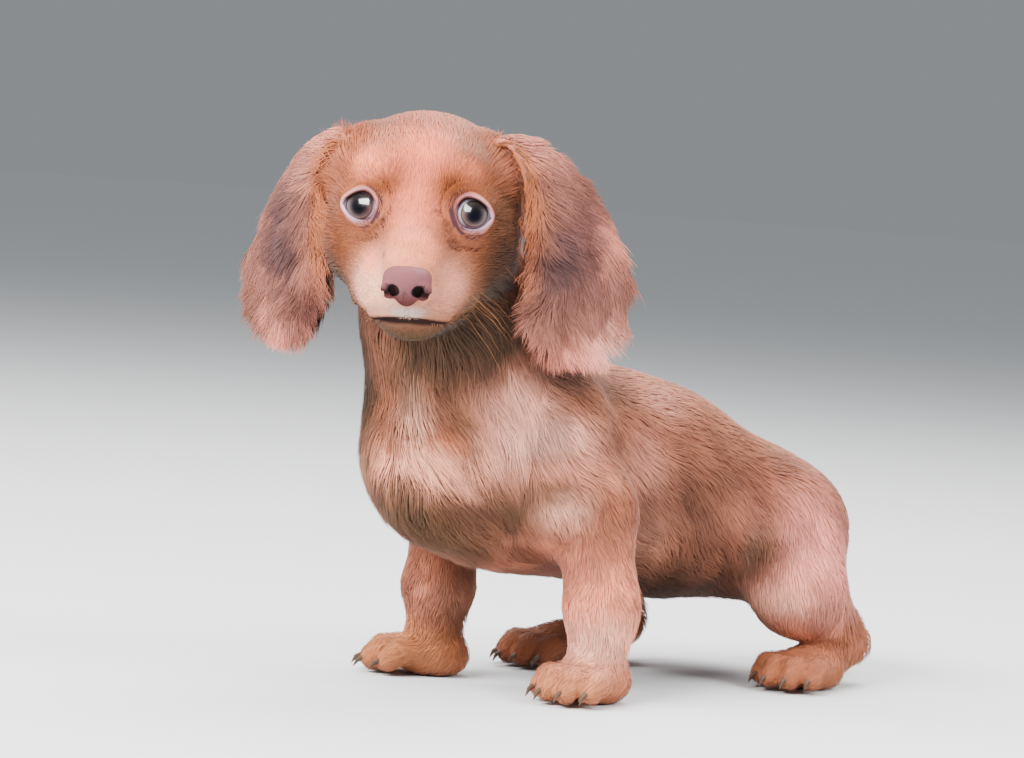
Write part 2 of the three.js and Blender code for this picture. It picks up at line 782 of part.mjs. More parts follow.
const TAIL_PATH = [
  [-182, 6, 84],
  [-198, 8, 70],
  [-205, 10, 48],
  [-206, 14, 28],
  [-212, 20, 13],
];
const tailMasses = TAIL_PATH.slice(1).map((to, i) =>
  limb(FLOOR, TAIL_PATH[i], to, 12 - 2 * i, 10 - 2 * i, 3),
);
const tailShape = (grow) =>
  wrap({
    flesh: fleshOf(tailMasses),
    spine: TAIL_PATH.map((p) => FLOOR.at(p)),
    side: FLOOR.left,
    around: 9,
    along: 9,
    caps: 2,
    grow,
  });

const TAIL_LOCKS = 11;
const tailLocks = () => {
  const vary = variation(91);
  const flesh = fleshOf(tailMasses);
  const curve = new THREE.CatmullRomCurve3(TAIL_PATH.map((p) => FLOOR.at(p)));
  return Array.from({ length: TAIL_LOCKS }, (_, i) => {
    const t = 0.12 + (0.8 * i) / TAIL_LOCKS;
    const tangent = curve.getTangent(t);
    const sideways = i % 2 ? 0.7 : -0.7;
    const lie = tangent.clone().add(FLOOR.along([0.25 - 0.5 * vary(), sideways * 0.35, 0]));
    const size = { length: 22 + 4 * vary(), width: 11, thick: 3, flare: 4.5 };
    return lockFrom(flesh, curve.getPoint(t), FLOOR.along([i % 3 ? -1 : 1, sideways, -0.2]), lie, size);
  });
};

// Nodes, in the order in which each keeps clear of those before it

const RED_COAT = new THREE.MeshStandardMaterial({ color: 0xb5714d, roughness: 0.75, metalness: 0 });
const EAR_COAT = new THREE.MeshStandardMaterial({ color: 0x9a5440, roughness: 0.75, metalness: 0 });
const LIVER_NOSE = new THREE.MeshStandardMaterial({ color: 0x7a5150, roughness: 0.4, metalness: 0 });
const EYE_GLASS = new THREE.MeshStandardMaterial({ color: 0x4d4a4c, roughness: 0.08, metalness: 0 });

// Each entry: name, shape, material, and what is joined on or cut out.
const plan = [
  { name: 'eye_left', shape: eyeShape(1), material: EYE_GLASS },
  { name: 'eye_right', shape: eyeShape(-1), material: EYE_GLASS },
  { name: 'nose', shape: noseCore, material: LIVER_NOSE, cuts: [nostril(1), nostril(-1), philtrum()] },
  {
    name: 'head',
    shape: (grow) => [headShape(grow), ...bothSides(lidShell)],
    material: RED_COAT,
    cuts: [...bothSides(lidOpening), mouthCut()],
  },
  {
    name: 'torso',
    solid: torsoSolid,
    material: RED_COAT,
    locks: () => [...chestLocks(), ...bellyLocks()],
  },
  { name: 'neck', solid: neckSolid, material: RED_COAT, locks: neckLocks },
  { name: 'ear_left', shape: earShape(EARS.left), material: EAR_COAT, locks: earLocks(EARS.left, 5) },
  { name: 'ear_right', shape: earShape(EARS.right), material: EAR_COAT, locks: earLocks(EARS.right, 7) },
];
for (const [side, leg] of Object.entries(FORELEGS)) {
  const paw = pawShape(forepawPlace(leg), leg.toe);
  plan.push({ name: `forepaw_${side}`, shape: paw, material: RED_COAT });
  const feathers = forelegLocks(leg);
  plan.push({ name: `foreleg_${side}`, shape: forelegShape(leg), material: RED_COAT, locks: feathers });
}
for (const [side, leg] of Object.entries(HINDLEGS)) {
  plan.push({ name: `hindpaw_${side}`, shape: pawShape(leg.foot, leg.toe), material: RED_COAT });
  const breeches = breechLocks(leg);
  plan.push({ name: `hindleg_${side}`, shape: hindlegShape(leg), material: RED_COAT, locks: breeches });
}
plan.push({ name: 'tail', shape: tailShape, material: RED_COAT, locks: tailLocks });

const join = (geometries) => wasm.Manifold.union([geometries].flat().map(solidOf));
const FLOOR_SIZE = 900;
const floorSlab = solidOf(
  new THREE.BoxGeometry(FLOOR_SIZE, FLOOR_SIZE, FLOOR_SIZE).translate(0, 0, -FLOOR_SIZE / 2),
);

// The one closed piece that a node keeps.
function largest(solid) {
  const pieces = solid.decompose();
  return pieces.reduce((best, piece) => (piece.volume() > best.volume() ? piece : best));
}

// How many edges of a solid fail to lie between two faces once close vertices have met.
function faults(solid) {
  const mesh = solid.getMesh();
  const key = (i) => [0, 1, 2].map((k) => mesh.vertProperties[3 * i + k].toFixed(3)).join();
  const seen = new Set();
  let count = 0;
  for (let i = 0; i < mesh.triVerts.length; i += 3) {
    const corners = [0, 1, 2].map((k) => key(mesh.triVerts[i + k]));
    for (let k = 0; k < 3; k++) {
      const edge = [corners[k], corners[(k + 1) % 3]].join(' ');
      if (seen.has(edge)) count++;
      seen.add(edge);
    }
  }
  return count;
}

// First the bodies of all the nodes, each clear of those before it.
let taken = floorSlab;
const nodes = plan.map((entry) => {
  const build = entry.solid ?? ((grow) => join(entry.shape(grow)));
  let solid = build(0).subtract(taken);
  for (const cut of entry.cuts ?? []) solid = solid.subtract(solidOf(cut));
  const grown = build(GAP);
  taken = taken.add(grown);
  return { ...entry, solid: largest(solid), grown };
});

// Then the locks, each joined where the skin stays sound and clear of all the other nodes.
for (const node of nodes) {
  if (!node.locks) continue;
  const others = nodes.filter((other) => other !== node).map((other) => other.grown);
  const away = wasm.Manifold.union([floorSlab, ...others]);
  const joined = [];
  for (const one of node.locks()) {
    const trimmed = solidOf(lock(one, 0)).subtract(away);
    if (trimmed.isEmpty()) continue;
    const next = largest(node.solid.add(trimmed));
    if (faults(next) > faults(node.solid)) continue;
    node.solid = next;
    joined.push(solidOf(lock(one, GAP)));
  }
  node.grown = wasm.Manifold.union([node.grown, ...joined]);
}

const dog = new THREE.Group();
for (const { name, solid, material } of nodes) {
  const mesh = new THREE.Mesh(geometryOf(solid), material);
  mesh.name = name;
  dog.add(mesh);
}

// Centres the whole over the origin, with the soles on the floor.
const bounds = new THREE.Box3().setFromObject(dog);
const middle = bounds.getCenter(new THREE.Vector3());
dog.position.set(-middle.x, -middle.y, 0);

export default dog;
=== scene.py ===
"""A long-haired dachshund puppy: one skin with its coat, eyes, nose, claws and whiskers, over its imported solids.

Sizes are in millimetres, as [forward, left, up] in the frame of the body, the head or a paw, and become
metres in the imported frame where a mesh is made.
"""

import logging
import math
from dataclasses import dataclass, field
from enum import Enum
from typing import Callable

import bpy
import numpy as np
from mathutils import Matrix, Vector
from mathutils.kdtree import KDTree


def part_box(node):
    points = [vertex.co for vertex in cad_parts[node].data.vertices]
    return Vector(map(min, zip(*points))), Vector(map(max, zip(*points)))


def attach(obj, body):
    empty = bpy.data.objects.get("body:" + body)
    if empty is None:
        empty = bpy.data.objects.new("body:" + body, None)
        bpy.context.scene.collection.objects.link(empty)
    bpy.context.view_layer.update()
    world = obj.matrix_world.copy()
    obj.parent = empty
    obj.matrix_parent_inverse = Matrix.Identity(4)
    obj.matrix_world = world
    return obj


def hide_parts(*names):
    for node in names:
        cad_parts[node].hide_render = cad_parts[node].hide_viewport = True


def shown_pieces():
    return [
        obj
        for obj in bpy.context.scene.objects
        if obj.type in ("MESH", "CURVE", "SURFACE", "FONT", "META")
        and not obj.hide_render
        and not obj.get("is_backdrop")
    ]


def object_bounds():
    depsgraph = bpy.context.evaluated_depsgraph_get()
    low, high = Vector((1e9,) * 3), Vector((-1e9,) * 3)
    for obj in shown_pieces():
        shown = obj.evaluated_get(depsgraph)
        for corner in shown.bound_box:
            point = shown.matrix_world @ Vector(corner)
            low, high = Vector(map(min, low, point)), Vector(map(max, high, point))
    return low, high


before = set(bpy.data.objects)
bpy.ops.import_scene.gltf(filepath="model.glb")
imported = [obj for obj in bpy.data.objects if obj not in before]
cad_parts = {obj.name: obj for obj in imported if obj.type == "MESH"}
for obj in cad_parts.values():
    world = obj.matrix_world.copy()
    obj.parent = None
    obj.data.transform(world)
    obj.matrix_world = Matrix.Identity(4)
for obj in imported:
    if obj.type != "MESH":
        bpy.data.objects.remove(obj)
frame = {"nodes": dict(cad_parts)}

BOUNDS_OF_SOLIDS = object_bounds()
Array = np.ndarray
LOG = logging.getLogger("dachshund")

MM = 1000  # millimetres in a metre
LEAN = 4.0  # degrees by which the dog leans towards its right forefoot
LEAN_HEADING = 43.0  # direction of the axis of that lean, from straight ahead to the left
HEAD_PLACE = (92.6, 34, 211.5)  # the place between the eyes, in the frame of the body
HEAD_TURN = (38, 20, 4)  # degrees to the left, down, and over to the left
EYE_SPACING = 46.0
EYE_RADIUS = 7.8


class Side(Enum):
    """Which side of the dog a paired part is on, as the sign of its place to the left."""

    LEFT = 1
    RIGHT = -1

    @property
    def label(self) -> str:
        """The side's word in the names of pieces."""
        return self.name.lower()


def unit(vectors: Array) -> Array:
    """Vectors brought to length one."""
    return vectors / np.maximum(np.linalg.norm(vectors, axis=-1, keepdims=True), 1e-9)


def smooth_step(low: float, high: float, values: Array) -> Array:
    """A soft ramp from 0 at low to 1 at high."""
    t = np.clip((np.asarray(values, float) - low) / (high - low), 0.0, 1.0)
    return t * t * (3.0 - 2.0 * t)


def turned_about(vector: Array, axis: Array, degrees: float) -> Array:
    """A vector turned about an axis of length one by some degrees."""
    a = math.radians(degrees)
    return vector * math.cos(a) + np.cross(axis, vector) * math.sin(a) + axis * (axis @ vector) * (1 - math.cos(a))


@dataclass(frozen=True)
class Frame:
    """A right-handed set of directions, forward, left and up, with an origin."""

    origin: Array
    forward: Array
    left: Array

    @property
    def axes(self) -> Array:
        """The three directions as rows."""
        return np.stack([self.forward, self.left, np.cross(self.forward, self.left)])

    def along(self, directions) -> Array:
        """Directions given in this frame, in the common one."""
        return np.asarray(directions, float) @ self.axes

    def at(self, places) -> Array:
        """Places given in this frame, in the common one."""
        return self.origin + self.along(places)

    def into(self, points: Array) -> Array:
        """Points of the common frame, in this one."""
        return (points - self.origin) @ self.axes.T

    def turned(self, place, yaw: float, pitch: float = 0.0, roll: float = 0.0) -> "Frame":
        """A frame set at a place in this one.

        Args:
            place: Its origin in this frame.
            yaw: Degrees it turns to the left.
            pitch: Degrees its nose goes down.
            roll: Degrees its left side goes down.

        Returns:
            The new frame.
        """
        up = self.axes[2]
        left = turned_about(self.left, up, yaw)
        forward = turned_about(turned_about(self.forward, up, yaw), left, pitch)
        return Frame(self.at(place), forward, turned_about(left, forward, -roll))


FLOOR = Frame(np.zeros(3), np.array([0.0, -1.0, 0.0]), np.array([1.0, 0.0, 0.0]))
LEAN_AXIS = FLOOR.turned([0, 0, 0], LEAN_HEADING).forward
BODY = Frame(
    FLOOR.origin,
    turned_about(FLOOR.forward, LEAN_AXIS, LEAN),
    turned_about(FLOOR.left, LEAN_AXIS, LEAN),
)
HEAD = BODY.turned(HEAD_PLACE, *HEAD_TURN)
EYEBALLS = {Side.LEFT: (0.3, 23.0, -1.6), Side.RIGHT: (0.3, -23.8, -1.6)}


def eye_centre(side: Side) -> Array:
    """The middle of an eyeball."""
    return HEAD.at(EYEBALLS[side])


def from_eyes(points: Array) -> Array:
    """Distance from points to the middle of the nearer eyeball."""
    return np.min([np.linalg.norm(points - eye_centre(side), axis=1) for side in Side], axis=0)


_low, _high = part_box("eye_left")
SHIFT = np.array((_low + _high) / 2) * MM - HEAD.at([0, EYE_SPACING / 2, 0])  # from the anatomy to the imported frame


def to_metres(points: Array) -> Array:
    """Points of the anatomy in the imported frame, in metres."""
    return (points + SHIFT) / MM


def to_anatomy(points: Array) -> Array:
    """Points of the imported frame, in metres, as places of the anatomy."""
    return points * MM - SHIFT


# Flesh


def soft_min(a: Array, b: Array, k: float) -> Array:
    """The smaller of two distances, rounded over a width of k where they are close."""
    h = np.maximum(k - np.abs(a - b), 0) / k
    return np.minimum(a, b) - h * h * k / 4


def soft_max(a: Array, b: Array, k: float) -> Array:
    """The larger of two distances, rounded over a width of k where they are close."""
    return -soft_min(-a, -b, k)


CUBE_WAYS = np.array([[1, -1, -1], [-1, -1, 1], [-1, 1, -1], [1, 1, 1]], float)


def way_out(distance: Callable[[Array], Array], points: Array, step: float) -> Array:
    """The direction in which a field of distances grows.

    Args:
        distance: The field.
        points: Where it is asked for.
        step: How far from each point the field is read, towards four corners of a cube.

    Returns:
        Directions of length one.
    """
    return unit(sum(way * distance(points + way * step)[:, None] for way in CUBE_WAYS))


LEAST_EGG = 2.0  # smallest half length of a modelled ellipsoid
LEAST_LIMB = 1.5  # smallest radius of a modelled limb


@dataclass(frozen=True)
class Egg:
    """An ellipsoid of flesh lined up with a frame."""

    frame: Frame
    centre: tuple
    radii: tuple
    blend: float
    coat: float = 0.0

    def distance(self, points: Array) -> Array:
        """Distance from points to the skin, below zero inside."""
        q = self.frame.into(points) - np.array(self.centre)
        r = np.array(self.radii)
        near = np.linalg.norm(q / r, axis=1)
        slope = np.linalg.norm(q / (r * r), axis=1)
        return near * (near - 1) / np.maximum(slope, 1e-9) + self.coat

    @property
    def middle(self) -> Array:
        """Its middle in the common frame."""
        return self.frame.at(self.centre)

    @property
    def bulk(self) -> float:
        """How far it reaches from its middle."""
        return max(self.radii)

    def model(self) -> list:
        """The ellipsoid as a sphere scaled in place."""
        r = np.maximum(np.array(self.radii) - self.coat, LEAST_EGG)
        return [ball_at(self.middle, r, self.frame)]


@dataclass(frozen=True)
class Limb:
    """A length of flesh between two places, round at both ends, with a radius at each."""

    frame: Frame
    start: tuple
    end: tuple
    start_radius: float
    end_radius: float
    blend: float
    coat: float = 0.0

    def distance(self, points: Array) -> Array:
        """Distance from points to the skin, below zero inside."""
        a = self.frame.at(self.start)
        axis = self.frame.at(self.end) - a
        length = np.linalg.norm(axis)
        taper = (self.start_radius - self.end_radius) / length
        q = points - a
        y = q @ axis / length
        x = np.sqrt(np.maximum((q * q).sum(1) - y * y, 0))
        slant = math.sqrt(max(1 - taper * taper, 1e-6))
        k = x * -taper + y * slant
        first = np.hypot(x, y) - self.start_radius
        last = np.hypot(x, y - length) - self.end_radius
        side = x * slant + y * taper - self.start_radius
        return np.where(k < 0, first, np.where(k > slant * length, last, side)) + self.coat

    @property
    def middle(self) -> Array:
        """Its middle in the common frame."""
        return (self.frame.at(self.start) + self.frame.at(self.end)) / 2

    @property
    def bulk(self) -> float:
        """How far it reaches from its middle."""
        half = np.linalg.norm(self.frame.at(self.start) - self.frame.at(self.end)) / 2
        return half + max(self.start_radius, self.end_radius)

    def model(self) -> list:
        """The limb as two spheres and a cone between them."""
        a, b = self.frame.at(self.start), self.frame.at(self.end)
        r1, r2 = (max(radius - self.coat, LEAST_LIMB) for radius in (self.start_radius, self.end_radius))
        return [
            ball_at(a, np.full(3, r1), FLOOR),
            ball_at(b, np.full(3, r2), FLOOR),
            cone_between(a, b, r1, r2),
        ]


def deselect() -> None:
    """Takes every object out of the selection."""
    bpy.ops.object.select_all(action="DESELECT")


def select(*pieces: bpy.types.Object) -> None:
    """Selects some pieces and no others, with the first as the active one."""
    deselect()
    for piece in pieces:
        piece.select_set(True)
    bpy.context.view_layer.objects.active = pieces[0]


def face_outward() -> None:
    """Turns all faces of the active piece outward."""
    bpy.ops.object.mode_set(mode="EDIT")
    bpy.ops.mesh.select_all(action="SELECT")
    bpy.ops.mesh.normals_make_consistent(inside=False)
    bpy.ops.object.mode_set(mode="OBJECT")


def shade_smooth(piece: bpy.types.Object) -> None:
    """Shades all faces of a piece as smooth."""
    for polygon in piece.data.polygons:
        polygon.use_smooth = True


def ball_at(centre: Array, radii: Array, lined_up: Frame, segments: int = 24) -> bpy.types.Object:
    """Adds a sphere at its size and place, along the directions of a frame.

    Args:
        centre: Its middle.
        radii: Its half lengths forward, left and up.
        lined_up: The frame that it follows.
        segments: Faces around it.

    Returns:
        The sphere, with its place in its mesh.
    """
    deselect()
    turn = Matrix(lined_up.axes.T.tolist()).to_euler()
    bpy.ops.mesh.primitive_uv_sphere_add(
        segments=segments,
        ring_count=segments // 2,
        radius=1,
        location=Vector(to_metres(centre)),
        rotation=turn,
        scale=Vector(radii / MM),
    )
    ball = bpy.context.object
    bpy.ops.object.transform_apply(location=True, rotation=True, scale=True)
    return ball


def cone_between(a: Array, b: Array, r1: float, r2: float, sides: int = 24) -> bpy.types.Object:
    """Adds a cone or cylinder from one place to another.

    Args:
        a: The middle of its base.
        b: The middle of its top.
        r1: Radius at the base.
        r2: Radius at the top.
        sides: Faces around it.

    Returns:
        The cone, with its place in its mesh.
    """
    deselect()
    axis = Vector(b - a)
    bpy.ops.mesh.primitive_cone_add(
        vertices=sides,
        radius1=r1 / MM,
        radius2=r2 / MM,
        depth=axis.length / MM,
        location=Vector(to_metres((a + b) / 2)),
        rotation=axis.to_track_quat("Z", "Y").to_euler(),
    )
    cone = bpy.context.object
    bpy.ops.object.transform_apply(location=True, rotation=True, scale=True)
    return cone


def joined(objects: list, name: str) -> bpy.types.Object:
    """Joins meshes into one object with a name."""
    select(*objects)
    if len(objects) > 1:
        bpy.ops.object.join()
    objects[0].name = name
    objects[0].data.name = name
    return objects[0]


def apply(piece: bpy.types.Object, kind: str, **settings) -> None:
    """Adds a modifier with some settings to a piece and applies it."""
    select(piece)
    made = piece.modifiers.new(kind.lower(), kind)
    for key, value in settings.items():
        setattr(made, key, value)
    bpy.ops.object.modifier_apply(modifier=made.name)


def corners_of(piece: bpy.types.Object) -> Array:
    """The vertices of a piece as places of the anatomy."""
    co = np.empty(len(piece.data.vertices) * 3)
    piece.data.vertices.foreach_get("co", co)
    return to_anatomy(co.reshape(-1, 3))


def move_corners(piece: bpy.types.Object, places: Array) -> None:
    """Puts the vertices of a piece at places of the anatomy."""
    piece.data.vertices.foreach_set("co", to_metres(places).ravel())
    piece.data.update()


def blended(masses: list, points: Array) -> Array:
    """Distance from points to masses run together, each with its own softness of join."""
    d = masses[0].distance(points)
    for mass in masses[1:]:
        d = soft_min(d, mass.distance(points), mass.blend)
    return d


@dataclass(frozen=True)
class Flesh:
    """A group of masses with a sphere round them, far outside which they aren't reckoned."""

    masses: tuple
    centre: Array
    reach: float
    far: float = 30.0  # distance from the sphere beyond which only a rough value is given

    def distance(self, points: Array) -> Array:
        """Distance from points to the group, and a rough one far from it."""
        away = np.linalg.norm(points - self.centre, axis=1) - self.reach
        d = np.maximum(away, self.far)
        close = away < self.far
        if close.any():
            d[close] = blended(list(self.masses), points[close])
        return d


@dataclass(frozen=True)
class Trunk:
    """Body, shoulders and neck."""

    withers: float = 151
    croup: float = 105
    chest_width: float = 98
    hip_width: float = 82
    rump_back: float = 150
    coat: float = 4.5
    neck_coat: float = 3.5

    def masses(self) -> list:
        """The masses of the trunk."""
        chest, hip = self.chest_width / 2, self.hip_width / 2
        made = [
            Egg(BODY, (2, 1, self.withers - 51), (54, chest, 51), 20, self.coat),
            Egg(BODY, (-50, -4, self.withers - 58), (56, chest - 2, 51), 24, self.coat),
            Egg(BODY, (-100, -2, 80), (50, hip + 4, 51), 26, self.coat),
            Egg(BODY, (-self.rump_back, 5, self.croup - 40), (40, hip, 40), 26, self.coat),
            Egg(BODY, (50, 3, 100), (24, 38, 32), 22, self.neck_coat),
        ]
        made += [Limb(BODY, (2, s.value * 31, 116), (24, s.value * 37, 90), 20, 19, 14, self.coat) for s in Side]
        made.append(Limb(BODY, (22, 1, 126), (50, 8, 174), 47, 38, 20, self.neck_coat))
        return made


def on_floor(place) -> tuple:
    """A place on the body as the floor frame has it."""
    return tuple(FLOOR.into(BODY.at(place)))


@dataclass(frozen=True)
class Foreleg:
    """A foreleg from its elbow to its wrist."""

    side: Side
    foot: tuple
    toe: float
    carpus: float = 40
    paw_ahead: float = 6
    coat: float = 2.6

    def masses(self) -> list:
        """The masses of the leg."""
        s, (f, l, _) = self.side.value, self.foot
        elbow = on_floor((-5, s * 42, 80))
        return [
            Limb(FLOOR, on_floor((12, s * 38, 86)), elbow, 17, 19, 12, self.coat),
            Limb(FLOOR, elbow, (f, l, self.carpus), 19, 15.5, 10, self.coat),
            Egg(FLOOR, (f + 1, l, self.carpus), (16, 17, 14), 8, self.coat),
            Limb(FLOOR, (f, l, self.carpus), (f + 2, l, 14), 14, 14, 6, self.coat),
        ]

    @property
    def paw(self) -> Frame:
        """The frame of the paw."""
        heading = FLOOR.turned(self.foot, self.toe)
        return FLOOR.turned(FLOOR.into(heading.at([self.paw_ahead, 0, 0])), self.toe)


@dataclass(frozen=True)
class Hindleg:
    """A folded hind leg from its hip to its instep."""

    side: Side
    hip: tuple
    knee: tuple
    hock: tuple
    foot: tuple
    toe: float
    coat: float = 3.2

    def masses(self) -> list:
        """The masses of the leg."""
        instep = (self.foot[0] - 12, self.foot[1], 11)
        return [
            Limb(FLOOR, self.hip, self.knee, 32, 22, 14, self.coat),
            Limb(FLOOR, self.knee, self.hock, 19, 11, 12, self.coat - 0.8),
            Limb(FLOOR, self.hock, instep, 11, 11, 6, self.coat - 1.4),
        ]

    @property
    def paw(self) -> Frame:
        """The frame of the paw."""
        return FLOOR.turned(self.foot, self.toe)


FORELEGS = (Foreleg(Side.LEFT, (-5, 44, 0), 4), Foreleg(Side.RIGHT, (5, -44, 0), -40))
HINDLEGS = (
    Hindleg(Side.LEFT, (-151, 24, 70), (-138, 45, 44), (-170, 50, 20), (-137, 53, 0), 8),
    Hindleg(Side.RIGHT, (-146, -20, 72), (-98.5, -42.5, 55.5), (-120, -44, 19), (-72, -44, 0), -6),
)


@dataclass(frozen=True)
class Paw:
    """A paw with four toes, each ending in a claw."""

    place: Frame
    label: str
    length: float = 44
    width: float = 37
    coat: float = 1.3
    toes: tuple = ((-13, 15, 6.4), (-4.8, 21, 6.8), (4.8, 21, 6.8), (13, 15, 6.4))

    def masses(self) -> list:
        """The palm and the toes."""
        made = [Egg(self.place, (-5, 0, 9), (self.length / 2 - 4, self.width / 2 - 3, 12), 2, self.coat)]
        for left, reach, bulk in self.toes:
            joint = (reach - 5, left, 10.5)
            made.append(Limb(self.place, (2, left * 0.75, 11), joint, bulk, bulk, 2.5, self.coat))
            made.append(Limb(self.place, joint, (reach, left * 1.05, 6.5), bulk, bulk - 0.6, 1.6, self.coat))
        return made


PAWS = tuple(Paw(leg.paw, f"forepaw_{leg.side.label}") for leg in FORELEGS) + tuple(
    Paw(leg.paw, f"hindpaw_{leg.side.label}") for leg in HINDLEGS
)
TAIL_PATH = ((-182, 6, 84), (-198, 8, 70), (-205, 10, 48), (-206, 14, 28), (-212, 20, 13))
TAIL_COAT = 3.5


def tail_masses() -> list:
    """The lengths of the tail."""
    return [
        Limb(FLOOR, TAIL_PATH[i], TAIL_PATH[i + 1], 12 - 2 * i, 10 - 2 * i, 4, min(TAIL_COAT, 7.5 - 2 * i + 0.6))
        for i in range(len(TAIL_PATH) - 1)
    ]


@dataclass(frozen=True)
class Muzzle:
    """The line of the mouth and the groove under the nose, both cut into the skin."""

    lip_up: float = 2.6  # from the line of the mouth to the middle of the upper lip
    lip_back: float = 1.2
    lip_radius: float = 2.2
    lip_join: float = 2.5
    cut_drop: float = 0.5  # from the line of the mouth to the middle of the cut
    cut_radius: float = 1.35
    cut_join: float = 0.8
    groove_radius: float = 0.6
    groove_join: float = 1.2

    line: tuple = (
        (1, 26, -39.5),
        (9, 22.5, -45),
        (19, 18, -45),
        (27, 12, -41.5),
        (31, 0, -38.5),
        (27, -12, -41.5),
        (19, -18, -45),
        (9, -22.5, -45),
        (1, -26, -39.5),
    )

    def mouth(self) -> Array:
        """Places along the line of the mouth."""
        return HEAD.at(Curve(np.array(self.line, float)).at(np.linspace(0, 1, 49)))

    def groove(self) -> Array:
        """Places down the middle of the upper lip."""
        return HEAD.at([[38, 0, -30], [35.5, 0, -33.5], [33.5, 0, -36.5], [31.5, 0, -38.5]])


@dataclass(frozen=True)
class Curve:
    """A centripetal curve through points."""

    points: Array

    def at(self, t) -> Array:
        """Places on the curve.

        Args:
            t: Shares of the way along it.

        Returns:
            One place for each share.
        """
        pts = self.points
        n = len(pts)
        p = np.clip(np.asarray(t, float), 0, 1) * (n - 1)
        i = np.minimum(p.astype(int), n - 2)
        w = (p - i)[:, None]
        ends = np.vstack([2 * pts[0] - pts[1], pts, 2 * pts[-1] - pts[-2]])
        x0, x1, x2, x3 = ends[i], ends[i + 1], ends[i + 2], ends[i + 3]
        d0, d1, d2 = (
            np.maximum(((b - a) ** 2).sum(1), 1e-12)[:, None] ** 0.25 for a, b in ((x0, x1), (x1, x2), (x2, x3))
        )
        t1 = ((x1 - x0) / d0 - (x2 - x0) / (d0 + d1) + (x2 - x1) / d1) * d1
        t2 = ((x2 - x1) / d1 - (x3 - x1) / (d1 + d2) + (x3 - x2) / d2) * d1
        c2, c3 = -3 * x1 + 3 * x2 - 2 * t1 - t2, 2 * x1 - 2 * x2 + t1 + t2
        return x1 + t1 * w + c2 * w**2 + c3 * w**3

    def tangent(self, t) -> Array:
        """Directions of the curve for shares of the way along it."""
        t = np.clip(np.asarray(t, float), 0, 1)
        return unit(self.at(np.minimum(t + 1e-3, 1)) - self.at(np.maximum(t - 1e-3, 0)))


def to_line(points: Array, line: Array) -> tuple:
    """Distance from points to a line of straight lengths.

    Args:
        points: Places of the anatomy.
        line: The corners of the line.

    Returns:
        The distances, and the nearest places on the line.
    """
    best = np.full(len(points), 1e9)
    nearest = np.zeros_like(points)
    for a, b in zip(line[:-1], line[1:]):
        axis = b - a
        t = np.clip((points - a) @ axis / (axis @ axis), 0, 1)
        on = a + t[:, None] * axis
        d = np.linalg.norm(points - on, axis=1)
        closer = d < best
        best[closer] = d[closer]
        nearest[closer] = on[closer]
    return best, nearest


